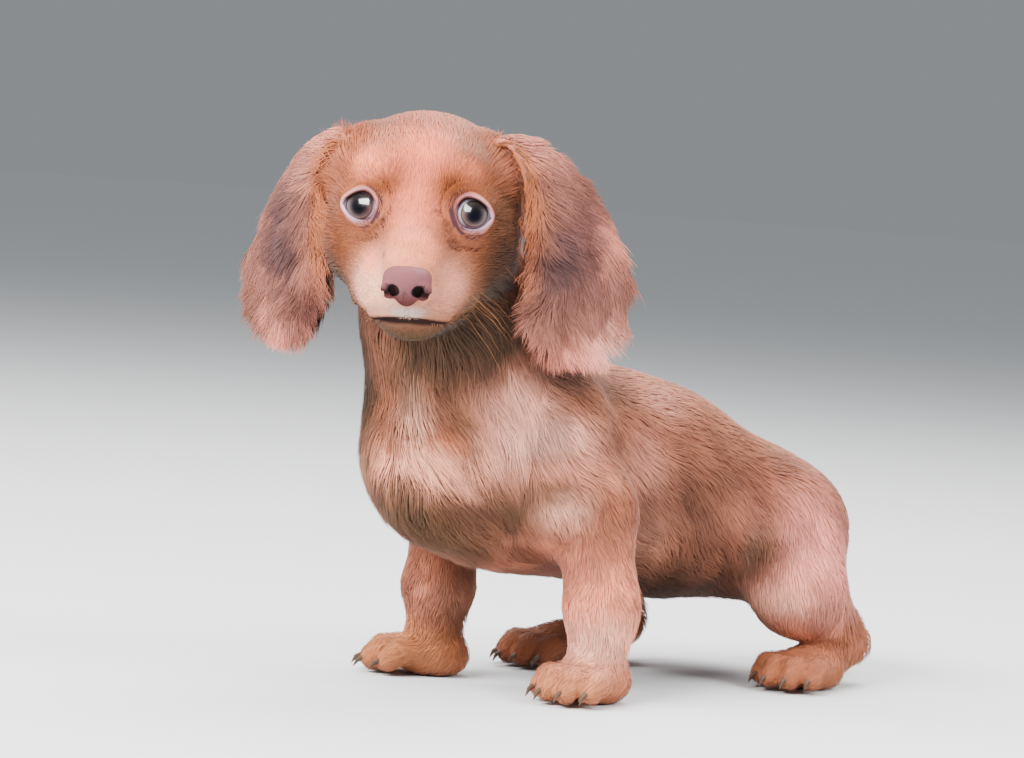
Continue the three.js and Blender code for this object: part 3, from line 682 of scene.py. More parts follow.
@dataclass(frozen=True)
class Lids:
    """The lids round one eye, a closed ring whose inner edge lies on the eyeball."""

    side: Side
    rim: tuple  # places round the edge of the opening, [outward, up], along the line of sight
    margin: float = 1.0  # thickness of the lids
    fold: float = 0.45  # depth of the crease over the upper lid
    crease_lift: float = -0.1  # the lift of the step in which that crease lies
    segments: int = 96
    view: tuple = (5.4, -20.65, 2.5)  # degrees that turn the head's frame to the viewer
    widest: float = 0.985  # share of the eyeball's radius that the opening can reach
    stand_off: float = 0.8  # height over the eyeball at which distance along it is measured
    drape_join: float = 4.0
    sinking: tuple = ((0.9, 4.2, 5.8), (2.4, 1.6, 3.4))  # depth, and distances from the edge over which it fades
    opening: float = 2.4  # how far beyond the edge the head is cut away
    opening_join: float = 0.7
    socket: float = 1.4  # least room between the eyeball and the head's own skin
    lid_change: tuple = (-1.5, 2.5)  # heights between which the lower lid becomes the upper one
    reach: float = 9.0  # how far from the eyeball the head is carved
    rounds: int = 6  # steps by which a row settles on the head
    ball_rows: tuple = ((1.6, -0.6), (0.5, -0.3), (0.0, 0.03), (0.12, 0.5), (0.45, 0.88), (0.95, 1.0))
    steps: tuple = ((0.6, 0.15), (0.8, 0.1), (0.8, -0.1), (0.8, 0.1), (1.0, 0.1), (1.2, 0.08), (1.2, 0.05), (0.8, -1.2))

    @property
    def sight(self) -> Frame:
        """The eye's frame, facing the viewer."""
        return HEAD.turned(EYEBALLS[self.side], *self.view)

    def edge_directions(self) -> Array:
        """Directions from the middle of the eyeball to places evenly spread round the opening."""
        line = Curve(np.array([*self.rim, self.rim[0]], float)).at(np.linspace(0, 1, self.segments * 4 + 1))
        run = np.concatenate([[0], np.cumsum(np.linalg.norm(np.diff(line, axis=0), axis=1))])
        even = np.arange(self.segments) / self.segments * run[-1]
        out, up = (np.interp(even, run, line[:, i]) for i in (0, 1))
        flat = np.hypot(out, up)
        short = np.minimum(flat, self.widest * EYE_RADIUS) / np.maximum(flat, 1e-9)
        out, up = out * short, up * short
        ahead = np.sqrt(np.maximum(EYE_RADIUS**2 - out**2 - up**2, 0))
        return unit(self.sight.along(np.stack([ahead, out * self.side.value, up], axis=1)))

    def edge(self, points: Array) -> Array:
        """Distance along the eyeball from points to the edge of the opening, below zero in it."""
        ways = self.edge_directions() @ self.sight.axes.T
        q = self.sight.into(points)
        order = np.argsort(np.arctan2(ways[:, 2], ways[:, 1]))
        turn = np.arctan2(ways[:, 2], ways[:, 1])[order]
        bound = np.arccos(np.clip(ways[:, 0], -1, 1))[order]
        away = np.arctan2(np.hypot(q[:, 1], q[:, 2]), q[:, 0])
        opened = np.interp(np.arctan2(q[:, 2], q[:, 1]), turn, bound, period=2 * np.pi)
        return (away - opened) * (EYE_RADIUS + self.stand_off)

    def to_rim(self, points: Array) -> Array:
        """Distance from points to the edge of the opening."""
        line = eye_centre(self.side) + EYE_RADIUS * self.edge_directions()[::2]
        return to_line(points, np.vstack([line, line[:1]]))[0]

    def upness(self, points: Array) -> Array:
        """How far points belong to the upper lid, from 0 to 1."""
        return smooth_step(*self.lid_change, self.sight.into(points)[:, 2])

    def drape(self, points: Array, d: Array) -> Array:
        """Distance from points to the head with the lids' bulge."""
        ball = np.linalg.norm(points - eye_centre(self.side), axis=1) - EYE_RADIUS
        return soft_min(d, ball - self.margin, self.drape_join)

    def carve(self, points: Array, d: Array) -> Array:
        """Sinks the head under the ring of the lids and opens it over the eyeball.

        Args:
            points: Places of the anatomy.
            d: Their distance to the head without this eye.

        Returns:
            Their distance to the head with it.
        """
        ball = np.linalg.norm(points - eye_centre(self.side), axis=1) - EYE_RADIUS
        d = self.drape(points, d)
        near = ball < self.reach
        if near.any():
            p = points[near]
            rim = self.to_rim(p)
            sunk = d[near]
            for depth, full, none in self.sinking:
                sunk = sunk + depth * (1 - smooth_step(full, none, rim))
            sunk = soft_max(sunk, self.opening - self.edge(p), self.opening_join)
            d = d.copy()
            d[near] = np.minimum(sunk, ball[near] + self.socket)
        return d

    def rows(self, head: Flesh) -> Array:
        """Places of the ring, one row of the opening's directions for each step away from its edge.

        Args:
            head: The flesh of the head.

        Returns:
            The places, as [direction, step, axis].
        """
        centre, ways = eye_centre(self.side), self.edge_directions()
        along = np.roll(ways, -1, axis=0) - np.roll(ways, 1, axis=0)
        out = unit(np.cross(along, ways))
        out *= np.sign((out * (ways - self.sight.forward)).sum(1).mean())

        upper = self.upness(centre + EYE_RADIUS * ways)[:, None]
        made = []
        for gap, rise in self.ball_rows:
            turn = gap / EYE_RADIUS
            made.append(centre + (EYE_RADIUS + rise * self.margin) * (ways * math.cos(turn) + out * math.sin(turn)))
        p = made[-1]
        heading = out

        def ground(places: Array) -> Array:
            """Distance from places to the head with the lids' bulge."""
            return self.drape(places, head.distance(places))

        for step, lift in self.steps:
            p = p + heading * step
            for _ in range(self.rounds):
                slope = way_out(ground, p, 0.2)
                p = p - slope * ground(p)[:, None]
            for _ in range(2):
                p = (np.roll(p, 1, axis=0) + np.roll(p, -1, axis=0) + 2 * p) / 4
            along = np.roll(p, -1, axis=0) - np.roll(p, 1, axis=0)
            turned = unit(np.cross(along, slope))
            heading = turned * np.sign((turned * heading).sum(1, keepdims=True))
            crease = self.fold * upper if lift == self.crease_lift else 0.0
            made.append(p + slope * (lift - crease))
        return np.stack(made, axis=1)

    def model(self, head: Flesh) -> bpy.types.Object:
        """The ring, a torus drawn onto its rows."""
        rows = self.rows(head)
        deselect()
        bpy.ops.mesh.primitive_torus_add(major_segments=self.segments, minor_segments=rows.shape[1])
        ring = bpy.context.object
        move_corners(ring, rows.reshape(-1, 3))
        face_outward()
        return ring


LIDS = {
    Side.RIGHT: Lids(
        Side.RIGHT,
        (
            (6.8, -0.4), (5.8, 1.35), (3.4, 3.35), (1.0, 4.6), (-1.4, 4.95), (-3.4, 3.95), (-4.7, 2.15),
            (-5.5, -0.45), (-5.7, -3.2), (-4.2, -5.4), (-1.8, -6.15), (0.8, -6.0), (3.4, -4.75), (5.4, -2.6),
        ),
    ),
    Side.LEFT: Lids(
        Side.LEFT,
        (
            (6.9, -2.3), (5.55, 0.5), (3.65, 2.65), (1.15, 4.25), (-1.75, 5.0), (-3.75, 4.6), (-5.35, 3.15),
            (-6.4, 0.9), (-6.8, -1.7), (-5.9, -4.25), (-3.75, -6.4), (-0.7, -7.05), (1.8, -6.65), (4.0, -5.35),
            (5.6, -3.65),
        ),
    ),
}


HEAD_COAT = 1.1


@dataclass(frozen=True)
class Skull:
    """The head without its ears."""

    width: float = 78
    face: tuple = (8, 0, -14)  # the middle of the part with lids and mouth
    face_reach: float = 58
    muzzle: Muzzle = field(default_factory=Muzzle)

    def masses(self) -> list:
        """The masses of the head."""
        c = HEAD_COAT
        made = [Egg(HEAD, (-28, 0, -6), (39, self.width / 2, 35), 8, c + 0.6)]
        made.append(Limb(HEAD, (-44, 0, -16), (-22, 0, -24), 26, 25, 10, c + 1))
        made += [Egg(HEAD, (-11, s.value * 22, -17), (22, 15, 21), 10, c) for s in Side]
        made += [Egg(HEAD, (-9, s.value * 17, 10), (13, 14, 11), 8, c) for s in Side]
        made.append(Limb(HEAD, (0, 0, -12), (28, 0, -21), 18, 13, 10, c))
        made.append(Limb(HEAD, (-4, 0, -2), (30, 0, -13), 11, 8.5, 8, c))
        made += [Limb(HEAD, (-9, s.value * 20, -24), (5, s.value * 14.5, -33.5), 15.5, 13, 9, c) for s in Side]
        made += [Egg(HEAD, (14, s.value * 11, -30), (18, 13.5, 14), 7, c) for s in Side]
        made.append(Egg(HEAD, (23, 0, -31), (12, 11, 10), 6, c))
        made.append(Egg(HEAD, (3, 0, -43.5), (26, 18, 13), 6, c))
        made += [Limb(HEAD, (-24, s.value * 24, 16), (-16, s.value * 34, 5), 9, 5.5, 8, c) for s in Side]
        return made

    def carve(self, points: Array, d: Array) -> Array:
        """Adds lids, lips, mouth and the groove under the nose.

        Args:
            points: Places of the anatomy.
            d: Their distance to the plain head.

        Returns:
            Their distance to the finished head.
        """
        near = np.linalg.norm(points - HEAD.at(self.face), axis=1) < self.face_reach
        if not near.any():
            return d
        p, e = points[near], d[near]
        for side in Side:
            e = LIDS[side].carve(p, e)
        m, lips = self.muzzle, self.muzzle.mouth()
        raised, _ = to_line(p, lips + HEAD.along([0, 0, m.lip_up]) - HEAD.along([m.lip_back, 0, 0]))
        e = soft_min(e, raised - m.lip_radius, m.lip_join)
        gap, _ = to_line(p, lips - HEAD.along([0, 0, m.cut_drop]))
        e = soft_max(e, m.cut_radius - gap, m.cut_join)
        gap, _ = to_line(p, m.groove())
        e = soft_max(e, m.groove_radius - gap, m.groove_join)
        out = d.copy()
        out[near] = e
        return out


EAR_LENGTH = 92.0


@dataclass(frozen=True)
class Ear:
    """A hanging ear, a leaf between a front and a back margin that meet at the root and the tip."""

    side: Side
    front: tuple
    back: tuple
    hide: float = 3.2  # thickness of the ear without its hair
    bow: float = 5.0  # how far the leaf bulges outward
    core: float = 0.84  # share of the leaf's back half that the hide takes
    roll: float = 1.1  # added share of thickness where the front margin rolls over
    roll_at: float = 0.8
    roll_width: float = 0.28
    blunt: float = 0.35  # how blunt the root and the tip are, less for blunter

    def curve(self, margin: tuple) -> Curve:
        """A margin as a curve of the anatomy."""
        return Curve(HEAD.at(np.array(margin, float) * [1, self.side.value, 1]))

    def leaf(self, along: Array, share: Array) -> tuple:
        """Places on the leaf.

        Args:
            along: Shares of the way from the root to the tip.
            share: From -1 at the front margin to 1 at the back margin.

        Returns:
            The places, half the leaf's width there, its direction to the tip, and the way out of its outer face.
        """
        front, back = self.curve(self.front), self.curve(self.back)
        t = np.clip(along, 0, 1)
        a, b = front.at(t), back.at(t)
        half = (b - a) / 2
        tangent = unit(front.tangent(t) + back.tangent(t))
        out = unit(np.cross(tangent, half)) * self.side.value
        bow = self.bow * (1 - np.minimum(share * share, 1)) * np.sin(np.pi * t)
        place = (a + b) / 2 + half * share[:, None] + tangent * ((along - t) * EAR_LENGTH)[:, None] + out * bow[:, None]
        return place, half, tangent, out

    def thickness(self, along: Array, share: Array) -> Array:
        """Thickness of the hide, more where the front margin rolls over."""
        roll = 1 + self.roll * np.exp(-(((share + self.roll_at) / self.roll_width) ** 2))
        return self.hide * np.maximum(np.sin(np.pi * np.clip(along, 0, 1)), 0) ** self.blunt * roll

    def model(self) -> bpy.types.Object:
        """The ear's hide, a sphere pressed into the leaf."""
        ball = ball_at(np.zeros(3), np.full(3, 1.0), FLOOR, 48)
        v = corners_of(ball)
        along = np.arccos(np.clip(v[:, 2], -1, 1)) / np.pi
        ring = np.maximum(np.hypot(v[:, 0], v[:, 1]), 1e-6)
        share = v[:, 0] / ring
        share = np.where(share > 0, share * self.core, share)
        place, _, _, out = self.leaf(along, share)
        lift = (v[:, 1] / ring) * self.thickness(along, share) / 2
        move_corners(ball, place + out * lift[:, None])
        face_outward()
        return ball


EARS = (
    Ear(
        Side.LEFT,
        ((-20, 24, 24), (-15, 35, 19), (-11, 41, 7), (-9, 43, -15), (-8, 44, -36), (-9, 45, -54), (-16, 65, -69.5)),
        ((-20, 24, 24), (-25, 43, 22), (-30, 57, 12), (-36, 78, -15), (-37, 87, -40), (-31, 82, -62), (-16, 65, -69.5)),
    ),
    Ear(
        Side.RIGHT,
        ((-20, 22, 24), (-15, 34, 17), (-11, 38, 3), (-9, 38, -16), (-8, 37, -37), (-10, 41, -56), (-20, 55, -73)),
        ((-20, 22, 24), (-26, 39, 18), (-35, 51, 6), (-44, 65, -20), (-47, 75, -40), (-39, 73, -63), (-20, 55, -73)),
    ),
)


class Part(Enum):
    """The groups of flesh whose coat differs."""

    TRUNK = 0
    FORELEGS = 1
    HINDLEGS = 2
    TAIL = 3
    HEAD = 4
    PAWS = 5


def group(masses: list) -> Flesh:
    """Masses with the sphere round them."""
    middles = np.array([mass.middle for mass in masses])
    centre = middles.mean(0)
    bulk = np.array([mass.bulk for mass in masses])
    return Flesh(tuple(masses), centre, float((np.linalg.norm(middles - centre, axis=1) + bulk).max()))


@dataclass
class Anatomy:
    """All the flesh of the dog as one field of distances to its skin."""

    leg_join: float = 12  # softness of the joins with the trunk
    tail_join: float = 8
    head_join: float = 9
    paw_join: float = 4
    sole: float = 0.6  # height of the soles over the floor
    fine_step: float = 0.25
    coarse_step: float = 0.6
    skull: Skull = field(default_factory=Skull)
    trunk: Flesh = field(init=False)
    forelegs: list = field(init=False)
    hindlegs: list = field(init=False)
    tail: Flesh = field(init=False)
    head: Flesh = field(init=False)
    paws: list = field(init=False)

    def __post_init__(self) -> None:
        """Gathers the masses of each group."""
        self.trunk = group(Trunk().masses())
        self.forelegs = [group(leg.masses()) for leg in FORELEGS]
        self.hindlegs = [group(leg.masses()) for leg in HINDLEGS]
        self.tail = group(tail_masses())
        self.head = group(self.skull.masses())
        self.paws = [group(paw.masses()) for paw in PAWS]

    def parts(self, points: Array) -> Array:
        """Distance from points to each part, one column for each."""
        groups = ([self.trunk], self.forelegs, self.hindlegs, [self.tail], [self.head], self.paws)
        return np.stack([np.min([each.distance(points) for each in some], axis=0) for some in groups], axis=1)

    def distance(self, points: Array, carved: bool = True) -> Array:
        """Distance from points to the skin.

        Args:
            points: Places of the anatomy.
            carved: Whether the face has its details.

        Returns:
            The distances, below zero inside.
        """
        trunk, fore, hind, tail, head, paws = self.parts(points).T
        if carved:
            head = self.skull.carve(points, head)
        d = trunk
        for part, join in (
            (fore, self.leg_join),
            (hind, self.leg_join),
            (tail, self.tail_join),
            (head, self.head_join),
            (paws, self.paw_join),
        ):
            d = soft_min(d, part, join)
        return np.maximum(d, self.sole - points[:, 2])

    def slope(self, points: Array, carved: bool = True) -> Array:
        """The way out of the skin at points."""
        return way_out(lambda p: self.distance(p, carved), points, self.fine_step if carved else self.coarse_step)

    def masses(self) -> list:
        """Every mass of flesh."""
        groups = [self.trunk, *self.forelegs, *self.hindlegs, self.tail, self.head, *self.paws]
        return [mass for each in groups for mass in each.masses]


@dataclass
class Skin:
    """The one hide of the dog, from its ears to its toes."""

    anatomy: Anatomy
    grain: float = 0.0017  # side of a face, in metres
    first_grain: float = 1.4  # of the flesh before the ears are joined to it, as a share of the last
    by_eyes: float = 4.2  # how far the smallest faces go from the eyeballs, the mouth and the groove
    by_mouth: float = 3.4
    by_groove: float = 3.0
    ear_gap: float = 2.4  # distance from the flesh beyond which the skin is an ear's
    ear_edge: float = 1.2  # distance from the flesh at which the skin begins to be an ear's
    step: float = 4.0  # longest move towards the flesh in a round
    rounds: tuple = (6, 3, 7)  # of moves on the bare flesh, with the ears, and with the face carved
    face_back: float = -14.0  # the part of the head with finer faces
    face_side: float = 36.0
    face_off: float = 4.0
    ear_rounds: int = 8  # of smoothing, by half the way each
    ear_foot: tuple = (0.4, 1.6)  # zones over which the smoothing grows
    ear_off_eyes: tuple = (13, 17)
    ear_behind: tuple = (2, -4)
    piece: bpy.types.Object = None
    lid_corners: int = 0

    def build(self) -> bpy.types.Object:
        """Models the masses, runs them together and draws the skin over them.

        Returns:
            The skin.
        """
        balls = [made for mass in self.anatomy.masses() for made in mass.model()]
        self.piece = joined(balls, "skin")
        self.remesh(self.grain * self.first_grain)
        self.settle(self.rounds[0], with_ears=False)
        ears = [ear.model() for ear in EARS]
        self.piece = joined([self.piece, *ears], "skin")
        self.remesh(self.grain)
        self.settle(self.rounds[1])
        self.refine(self.on_face)
        self.refine(self.fine_places)
        self.settle(self.rounds[2], carved=True)
        self.smooth_ears()
        lids = [LIDS[side].model(self.anatomy.head) for side in Side]
        self.lid_corners = sum(len(ring.data.vertices) for ring in lids)
        self.piece = joined([self.piece, *lids], "skin")
        return self.piece

    def on_face(self, points: Array) -> Array:
        """Which places belong to the front of the head and not to an ear."""
        h = HEAD.into(points)
        face = (h[:, 0] > self.face_back) & (np.abs(h[:, 1]) < self.face_side)
        return face & (self.anatomy.head.distance(points) < self.face_off) & ~self.on_ear(points)

    def fine_places(self, points: Array) -> Array:
        """Which places lie by an eye, the mouth or the nose, where faces are smallest."""
        eyes = from_eyes(points) < EYE_RADIUS + self.by_eyes
        mouth = to_line(points, self.anatomy.skull.muzzle.mouth())[0] < self.by_mouth
        groove = to_line(points, self.anatomy.skull.muzzle.groove())[0] < self.by_groove
        return eyes | mouth | groove

    def remesh(self, grain: float) -> None:
        """Draws one even closed mesh round all that the piece holds."""
        apply(self.piece, "REMESH", mode="VOXEL", voxel_size=grain)

    def on_ear(self, points: Array) -> Array:
        """Which places lie on a hanging ear, clear of the head."""
        return self.anatomy.distance(points, carved=False) > self.ear_gap

    def settle(self, rounds: int, carved: bool = False, with_ears: bool = True) -> None:
        """Moves the skin onto the flesh, save for the ears.

        Args:
            rounds: Steps towards the surface.
            carved: Whether the face has its details.
            with_ears: Whether the ears, which stay where they are, are part of it yet.
        """
        places = corners_of(self.piece)
        held, weight = np.zeros(len(places), bool), 1.0
        if with_ears:
            held = self.on_ear(places)
            weight = 1 - smooth_step(self.ear_edge, self.ear_gap, self.anatomy.distance(places[~held], False))
        moving = places[~held]
        for _ in range(rounds):
            d = np.clip(self.anatomy.distance(moving, carved), -self.step, self.step) * weight
            moving = moving - self.anatomy.slope(moving, carved) * d[:, None]
        places[~held] = moving
        move_corners(self.piece, places)

    def refine(self, chosen: Callable[[Array], Array]) -> None:
        """Divides some faces of the skin.

        Args:
            chosen: Tells for places whether the faces there are divided.
        """
        mesh = self.piece.data
        centres = np.empty(len(mesh.polygons) * 3)
        mesh.polygons.foreach_get("center", centres)
        flags = chosen(to_anatomy(centres.reshape(-1, 3)))
        select(self.piece)
        bpy.ops.object.mode_set(mode="EDIT")
        bpy.ops.mesh.select_all(action="DESELECT")
        bpy.ops.mesh.select_mode(type="FACE")
        bpy.ops.object.mode_set(mode="OBJECT")
        mesh.polygons.foreach_set("select", flags)
        bpy.ops.object.mode_set(mode="EDIT")
        bpy.ops.mesh.subdivide(number_cuts=1)
        bpy.ops.object.mode_set(mode="OBJECT")

    def smooth_ears(self) -> None:
        """Evens the hide of the ears and where they join the head."""
        places = corners_of(self.piece)
        mesh = self.piece.data
        edges = np.empty(len(mesh.edges) * 2, np.int32)
        mesh.edges.foreach_get("vertices", edges)
        a, b = edges.reshape(-1, 2).T
        eyes = from_eyes(places)
        away = self.anatomy.distance(places, carved=False)
        share = smooth_step(*self.ear_foot, away) * smooth_step(*self.ear_off_eyes, eyes)
        share = share * smooth_step(*self.ear_behind, HEAD.into(places)[:, 0])
        count = np.maximum(np.bincount(a, minlength=len(places)) + np.bincount(b, minlength=len(places)), 1)
        for _ in range(self.ear_rounds):
            sums = [np.bincount(a, p[b], len(p)) + np.bincount(b, p[a], len(p)) for p in places.T]
            total = np.stack(sums, axis=1)
            places = places + (total / count[:, None] - places) * (0.5 * share)[:, None]
        move_corners(self.piece, places)

    def unwrap(self) -> None:
        """Unwraps the skin's own shape for the coat's colours."""
        select(self.piece)
        while self.piece.data.uv_layers:
            self.piece.data.uv_layers.remove(self.piece.data.uv_layers[0])
        self.piece.data.uv_layers.new(name="OFBake")
        bpy.ops.object.mode_set(mode="EDIT")
        bpy.ops.mesh.select_all(action="SELECT")
        bpy.ops.uv.smart_project(angle_limit=math.radians(66), island_margin=0.004)
        bpy.ops.object.mode_set(mode="OBJECT")
        shade_smooth(self.piece)


# Coat colours, with painted light and shade


def tone(red: int, green: int, blue: int) -> Array:
    """A screen colour as linear light."""
    c = np.array([red, green, blue]) / 255
    return np.where(c <= 0.04045, c / 12.92, ((c + 0.055) / 1.055) ** 2.4)


def mixed(first: Array, second: Array, share: Array) -> Array:
    """Two colours run together, the second by its share."""
    return first * (1 - share) + second * share


@dataclass(frozen=True)
class Patch:
    """A soft patch of another colour on the coat; some are the coat's own marks, and some are painted highlights and
    painted shade.
    """

    place: Frame
    centre: tuple
    radii: tuple
    colour: Array
    strength: float = 1.0
    both_sides: bool = False

    def cover(self, points: Array) -> Array:
        """How much of the patch shows at points."""
        q = self.place.into(points)
        total = np.zeros(len(points))
        for side in (1, -1) if self.both_sides else (1,):
            away = (q - np.array(self.centre) * [1, side, 1]) / np.array(self.radii)
            total = np.maximum(total, np.exp(-((away**2).sum(1) ** PATCH_EDGE)))
        return total * self.strength


@dataclass(frozen=True)
class Streak:
    """A soft line of another colour on the coat, along a few places."""

    place: Frame
    line: tuple
    width: float
    colour: Array
    strength: float = 1.0
    both_sides: bool = False

    def cover(self, points: Array) -> Array:
        """How much of the line shows at points."""
        total = np.zeros(len(points))
        for side in (1, -1) if self.both_sides else (1,):
            gap, _ = to_line(points, self.place.at(np.array(self.line, float) * [1, side, 1]))
            total = np.maximum(total, np.exp(-((gap / self.width) ** STREAK_EDGE)))
        return total * self.strength


PATCH_EDGE = 1.3  # how sudden the edge of a patch is, and of a streak
STREAK_EDGE = 2.4


def patches(place: Frame, *rows: tuple) -> list:
    """Patches in one frame, each from its centre, radii, screen colour, strength and whether it is on both sides."""
    return [Patch(place, centre, radii, tone(*colour), *rest) for centre, radii, colour, *rest in rows]


RED = (146, 86, 61)  # the coat's own colour, as a screen shows it
ORANGE = (129, 68, 35)
BLAZE = (239, 124, 91)
BROWN = (137, 75, 50)
FACE = (173, 97, 64)

# The coat's own colours, with painted highlights and painted shade where the rows below say so.
PATCHES = (
    *patches(
        BODY,
        ((-85, 22, 128), (90, 34, 26), (169, 102, 74), 0.8, True),
        # painted shade: darker low on the flanks and under the belly
        ((-80, 42, 80), (60, 20, 20), (113, 66, 46), 0.8, True),
        ((-75, 0, 38), (84, 60, 26), (66, 38, 19), 0.95),
        ((18, 40, 160), (16, 30, 20), (100, 64, 46), 0.6),
        ((24, 52, 102), (26, 24, 16), (217, 139, 113), 0.9, True),
        # painted highlight along the ridge of the breast
        ((68, 16, 104), (22, 30, 11), (253, 170, 137), 0.95),
        # painted shade below the ridge of the breast
        ((60, 10, 70), (28, 34, 16), (97, 66, 38), 0.85),
        ((65, 29, 124), (10, 7, 15), (142, 93, 63), 0.7),
        # painted highlight high on the shoulder
        ((44, 42, 129), (18, 16, 13), (249, 173, 149), 0.92),
        ((72, 12, 127), (14, 7, 15), (188, 137, 115), 0.8),
        # painted shade behind and under the left ear
        ((-30, 34, 131), (22, 22, 9), (97, 64, 49), 0.8),
        # painted highlight high on the shoulder
        ((36, 46, 114), (26, 18, 9), (252, 184, 162), 0.9),
        # painted shade below the ridge of the breast
        ((68, 2, 86), (18, 24, 11), (93, 63, 36), 0.95),
        ((66, -22, 104), (14, 10, 26), (124, 82, 53), 0.75),
        # painted shade below the ridge of the breast
        ((46, 38, 87), (18, 16, 9), (85, 56, 33), 0.95),
        ((31, 51, 92), (13, 14, 6), (101, 64, 41), 0.92),
        ((21, 52, 81), (15, 12, 8), (250, 179, 149), 0.75),
        ((2, 59, 80), (12, 14, 8), (104, 58, 38), 0.85),
        ((70, 25, 115), (10, 8, 4), (181, 86, 52), 0.6),
        ((-39, 40, 100), (18, 14, 14), (203, 129, 108), 0.75, True),
        ((-50, 30, 62), (14, 14, 14), (188, 121, 93), 0.75, True),
        ((-66, 26, 124), (18, 18, 9), (201, 132, 110), 0.8),
        ((-103, 38, 73), (15, 14, 9), (174, 107, 78), 0.8, True),
        # painted shade on the inner side of the right foreleg
        ((8, -27, 42), (14, 10, 14), (100, 74, 52), 0.8),
    ),
    *patches(
        FLOOR,
        # painted highlight on the thighs
        ((-138, 58, 62), (30, 24, 34), (239, 149, 132), 0.92, True),
    ),
    *patches(
        BODY,
        ((-121, 40, 56), (9, 14, 13), (97, 69, 52), 0.85, True),
        ((-121, 50, 33), (14, 18, 9), (248, 169, 144), 0.9, True),
    ),
    *patches(
        FLOOR,
        ((-176, 45, 66), (18, 40, 40), (139, 88, 70), 0.8, True),
        # painted highlight down the front of the left foreleg
        ((2, 50, 42), (30, 26, 34), (246, 146, 113), 0.9),
        ((4, 52, 26), (24, 22, 12), (252, 181, 153), 0.95),
        ((6, 56, 74), (16, 14, 12), (146, 84, 55), 0.6, True),
        ((4, -46, 50), (30, 26, 44), (153, 90, 69), 0.9),
        ((14, -50, 10), (40, 30, 16), (181, 113, 71), 0.85),
        ((14, 46, 6), (26, 26, 12), (197, 124, 82), 0.8),
        ((-140, 52, 10), (50, 26, 20), (190, 113, 74), 0.7, True),
        # painted shade on the right hind foot, under the body
        ((-75, -46, 8), (30, 22, 16), (124, 71, 46), 0.8),
    ),
    *patches(
        HEAD,
        ((-25, 0, -5), (46, 46, 52), FACE, 1.0),
        ((-24, 30, 12), (26, 14, 26), (144, 77, 47), 0.9, True),
        ((-6, 0, 18), (26, 13, 26), BLAZE, 0.9),
        ((3, 20, 16), (8, 8, 5), BLAZE, 0.6, True),
        ((16, 0, 0), (16, 9, 14), BLAZE, 0.85),
        ((32, 0, -11), (11, 12, 9), (252, 155, 115), 0.95),
        ((4, 33, -18), (13, 10, 18), (132, 69, 36), 0.95, True),
        # painted shade on the left cheek, which faces away from the light
        ((0, 36, -12), (22, 13, 26), (93, 55, 30), 0.92),
        ((11, 20, -12), (8, 9, 6), BROWN, 0.75, True),
        ((26, 14, -26), (15, 12, 12), (221, 147, 118), 0.9, True),
        # painted highlight on the right side of the muzzle
        ((28, -14, -27), (15, 13, 12), (253, 181, 149), 0.95),
        ((4, 14.5, 10.5), (10, 8.5, 7), (124, 63, 29), 0.98, True),
        ((-26, 0, 27), (13, 30, 9), (153, 82, 58), 0.75),
        # painted highlight on the right of the forehead
        ((0, -20, 17), (10, 10, 7), (247, 134, 97), 0.8),
        ((-14, 39, 17), (9, 8, 9), (196, 118, 89), 0.8, True),
        ((30, 4, -8), (9, 10, 6), (253, 144, 101), 0.85),
        ((22, -17, -18), (8, 7, 5), (249, 134, 101), 0.8),
        # painted shade low on the left cheek, under the ear
        ((0, 37, -24), (18, 12, 11), (72, 41, 22), 0.92),
        # painted shade under the jaw
        ((-4, 32, -38), (20, 14, 13), (60, 41, 25), 0.95, True),
        ((14, 22, -40), (9, 8, 9), (108, 77, 53), 0.85),
    ),
    Streak(HEAD, ((12, -12.0, -3.5), (10, -16.5, -8.5), (8, -21, -14), (6, -24, -18)), 2.1, tone(97, 53, 31), 0.85),
    Streak(HEAD, ((12, 12.5, -3.0), (10, 15, -9)), 1.7, tone(105, 56, 34), 0.6),
    Streak(HEAD, ((11, -13, 4.5), (7, -18, 8.0), (2, -24, 7)), 1.6, tone(124, 63, 29), 0.5, True),
    *patches(
        HEAD,
        ((31, 0, -7.5), (4, 4, 3), ORANGE, 0.5),
        ((29, -11, -12), (1.6, 1.6, 1.6), ORANGE, 0.8),
        # painted shade on the chin, under the mouth
        ((14, 0, -52), (36, 27, 12.5), (80, 63, 39), 0.97),
    ),
    *patches(
        BODY,
        # painted shade on the throat and neck, under the chin and the ears
        ((64, -20, 142), (20, 16, 32), (53, 39, 20), 0.95),
        ((68, 32, 153), (24, 20, 13), (53, 36, 18), 0.93),
        ((48, 42, 160), (22, 20, 12), (56, 39, 25), 0.93, True),
        ((4, 44, 141), (32, 22, 10), (82, 53, 40), 0.92, True),
        ((70, 12, 148), (16, 20, 11), (93, 66, 41), 0.75),
    ),
    *patches(
        HEAD,
        ((35, 0, -35), (5, 9, 3.6), (206, 188, 179), 0.85),
    ),
)

EAR_PATCHES = (
    *patches(
        HEAD,
        ((-12, 54, -22), (13, 6.5, 17), (82, 56, 58), 0.9, True),
        ((-10, 50, -56), (9, 8, 10), (144, 89, 75), 0.8, True),
        ((-27, 73, -14), (14, 9, 13), (221, 134, 111), 0.85, True),
        ((-22, 75, -60), (14, 11, 11), (246, 166, 147), 0.9),
        ((-12, -46, -50), (12, 9, 14), (93, 48, 39), 0.9),
        ((-36, -71, -58), (14, 10, 14), (97, 56, 39), 0.85),
    ),
)

EAR_HIDE = (162, 99, 80)
EAR_TOP = (203, 126, 106)
EAR_CENTRE = (101, 60, 56)
EAR_END = (229, 134, 113)
EAR_STRIP = (170, 95, 58)  # where the front margin rolls over
NO_EAR = 9.0  # place across an ear of all that isn't on one


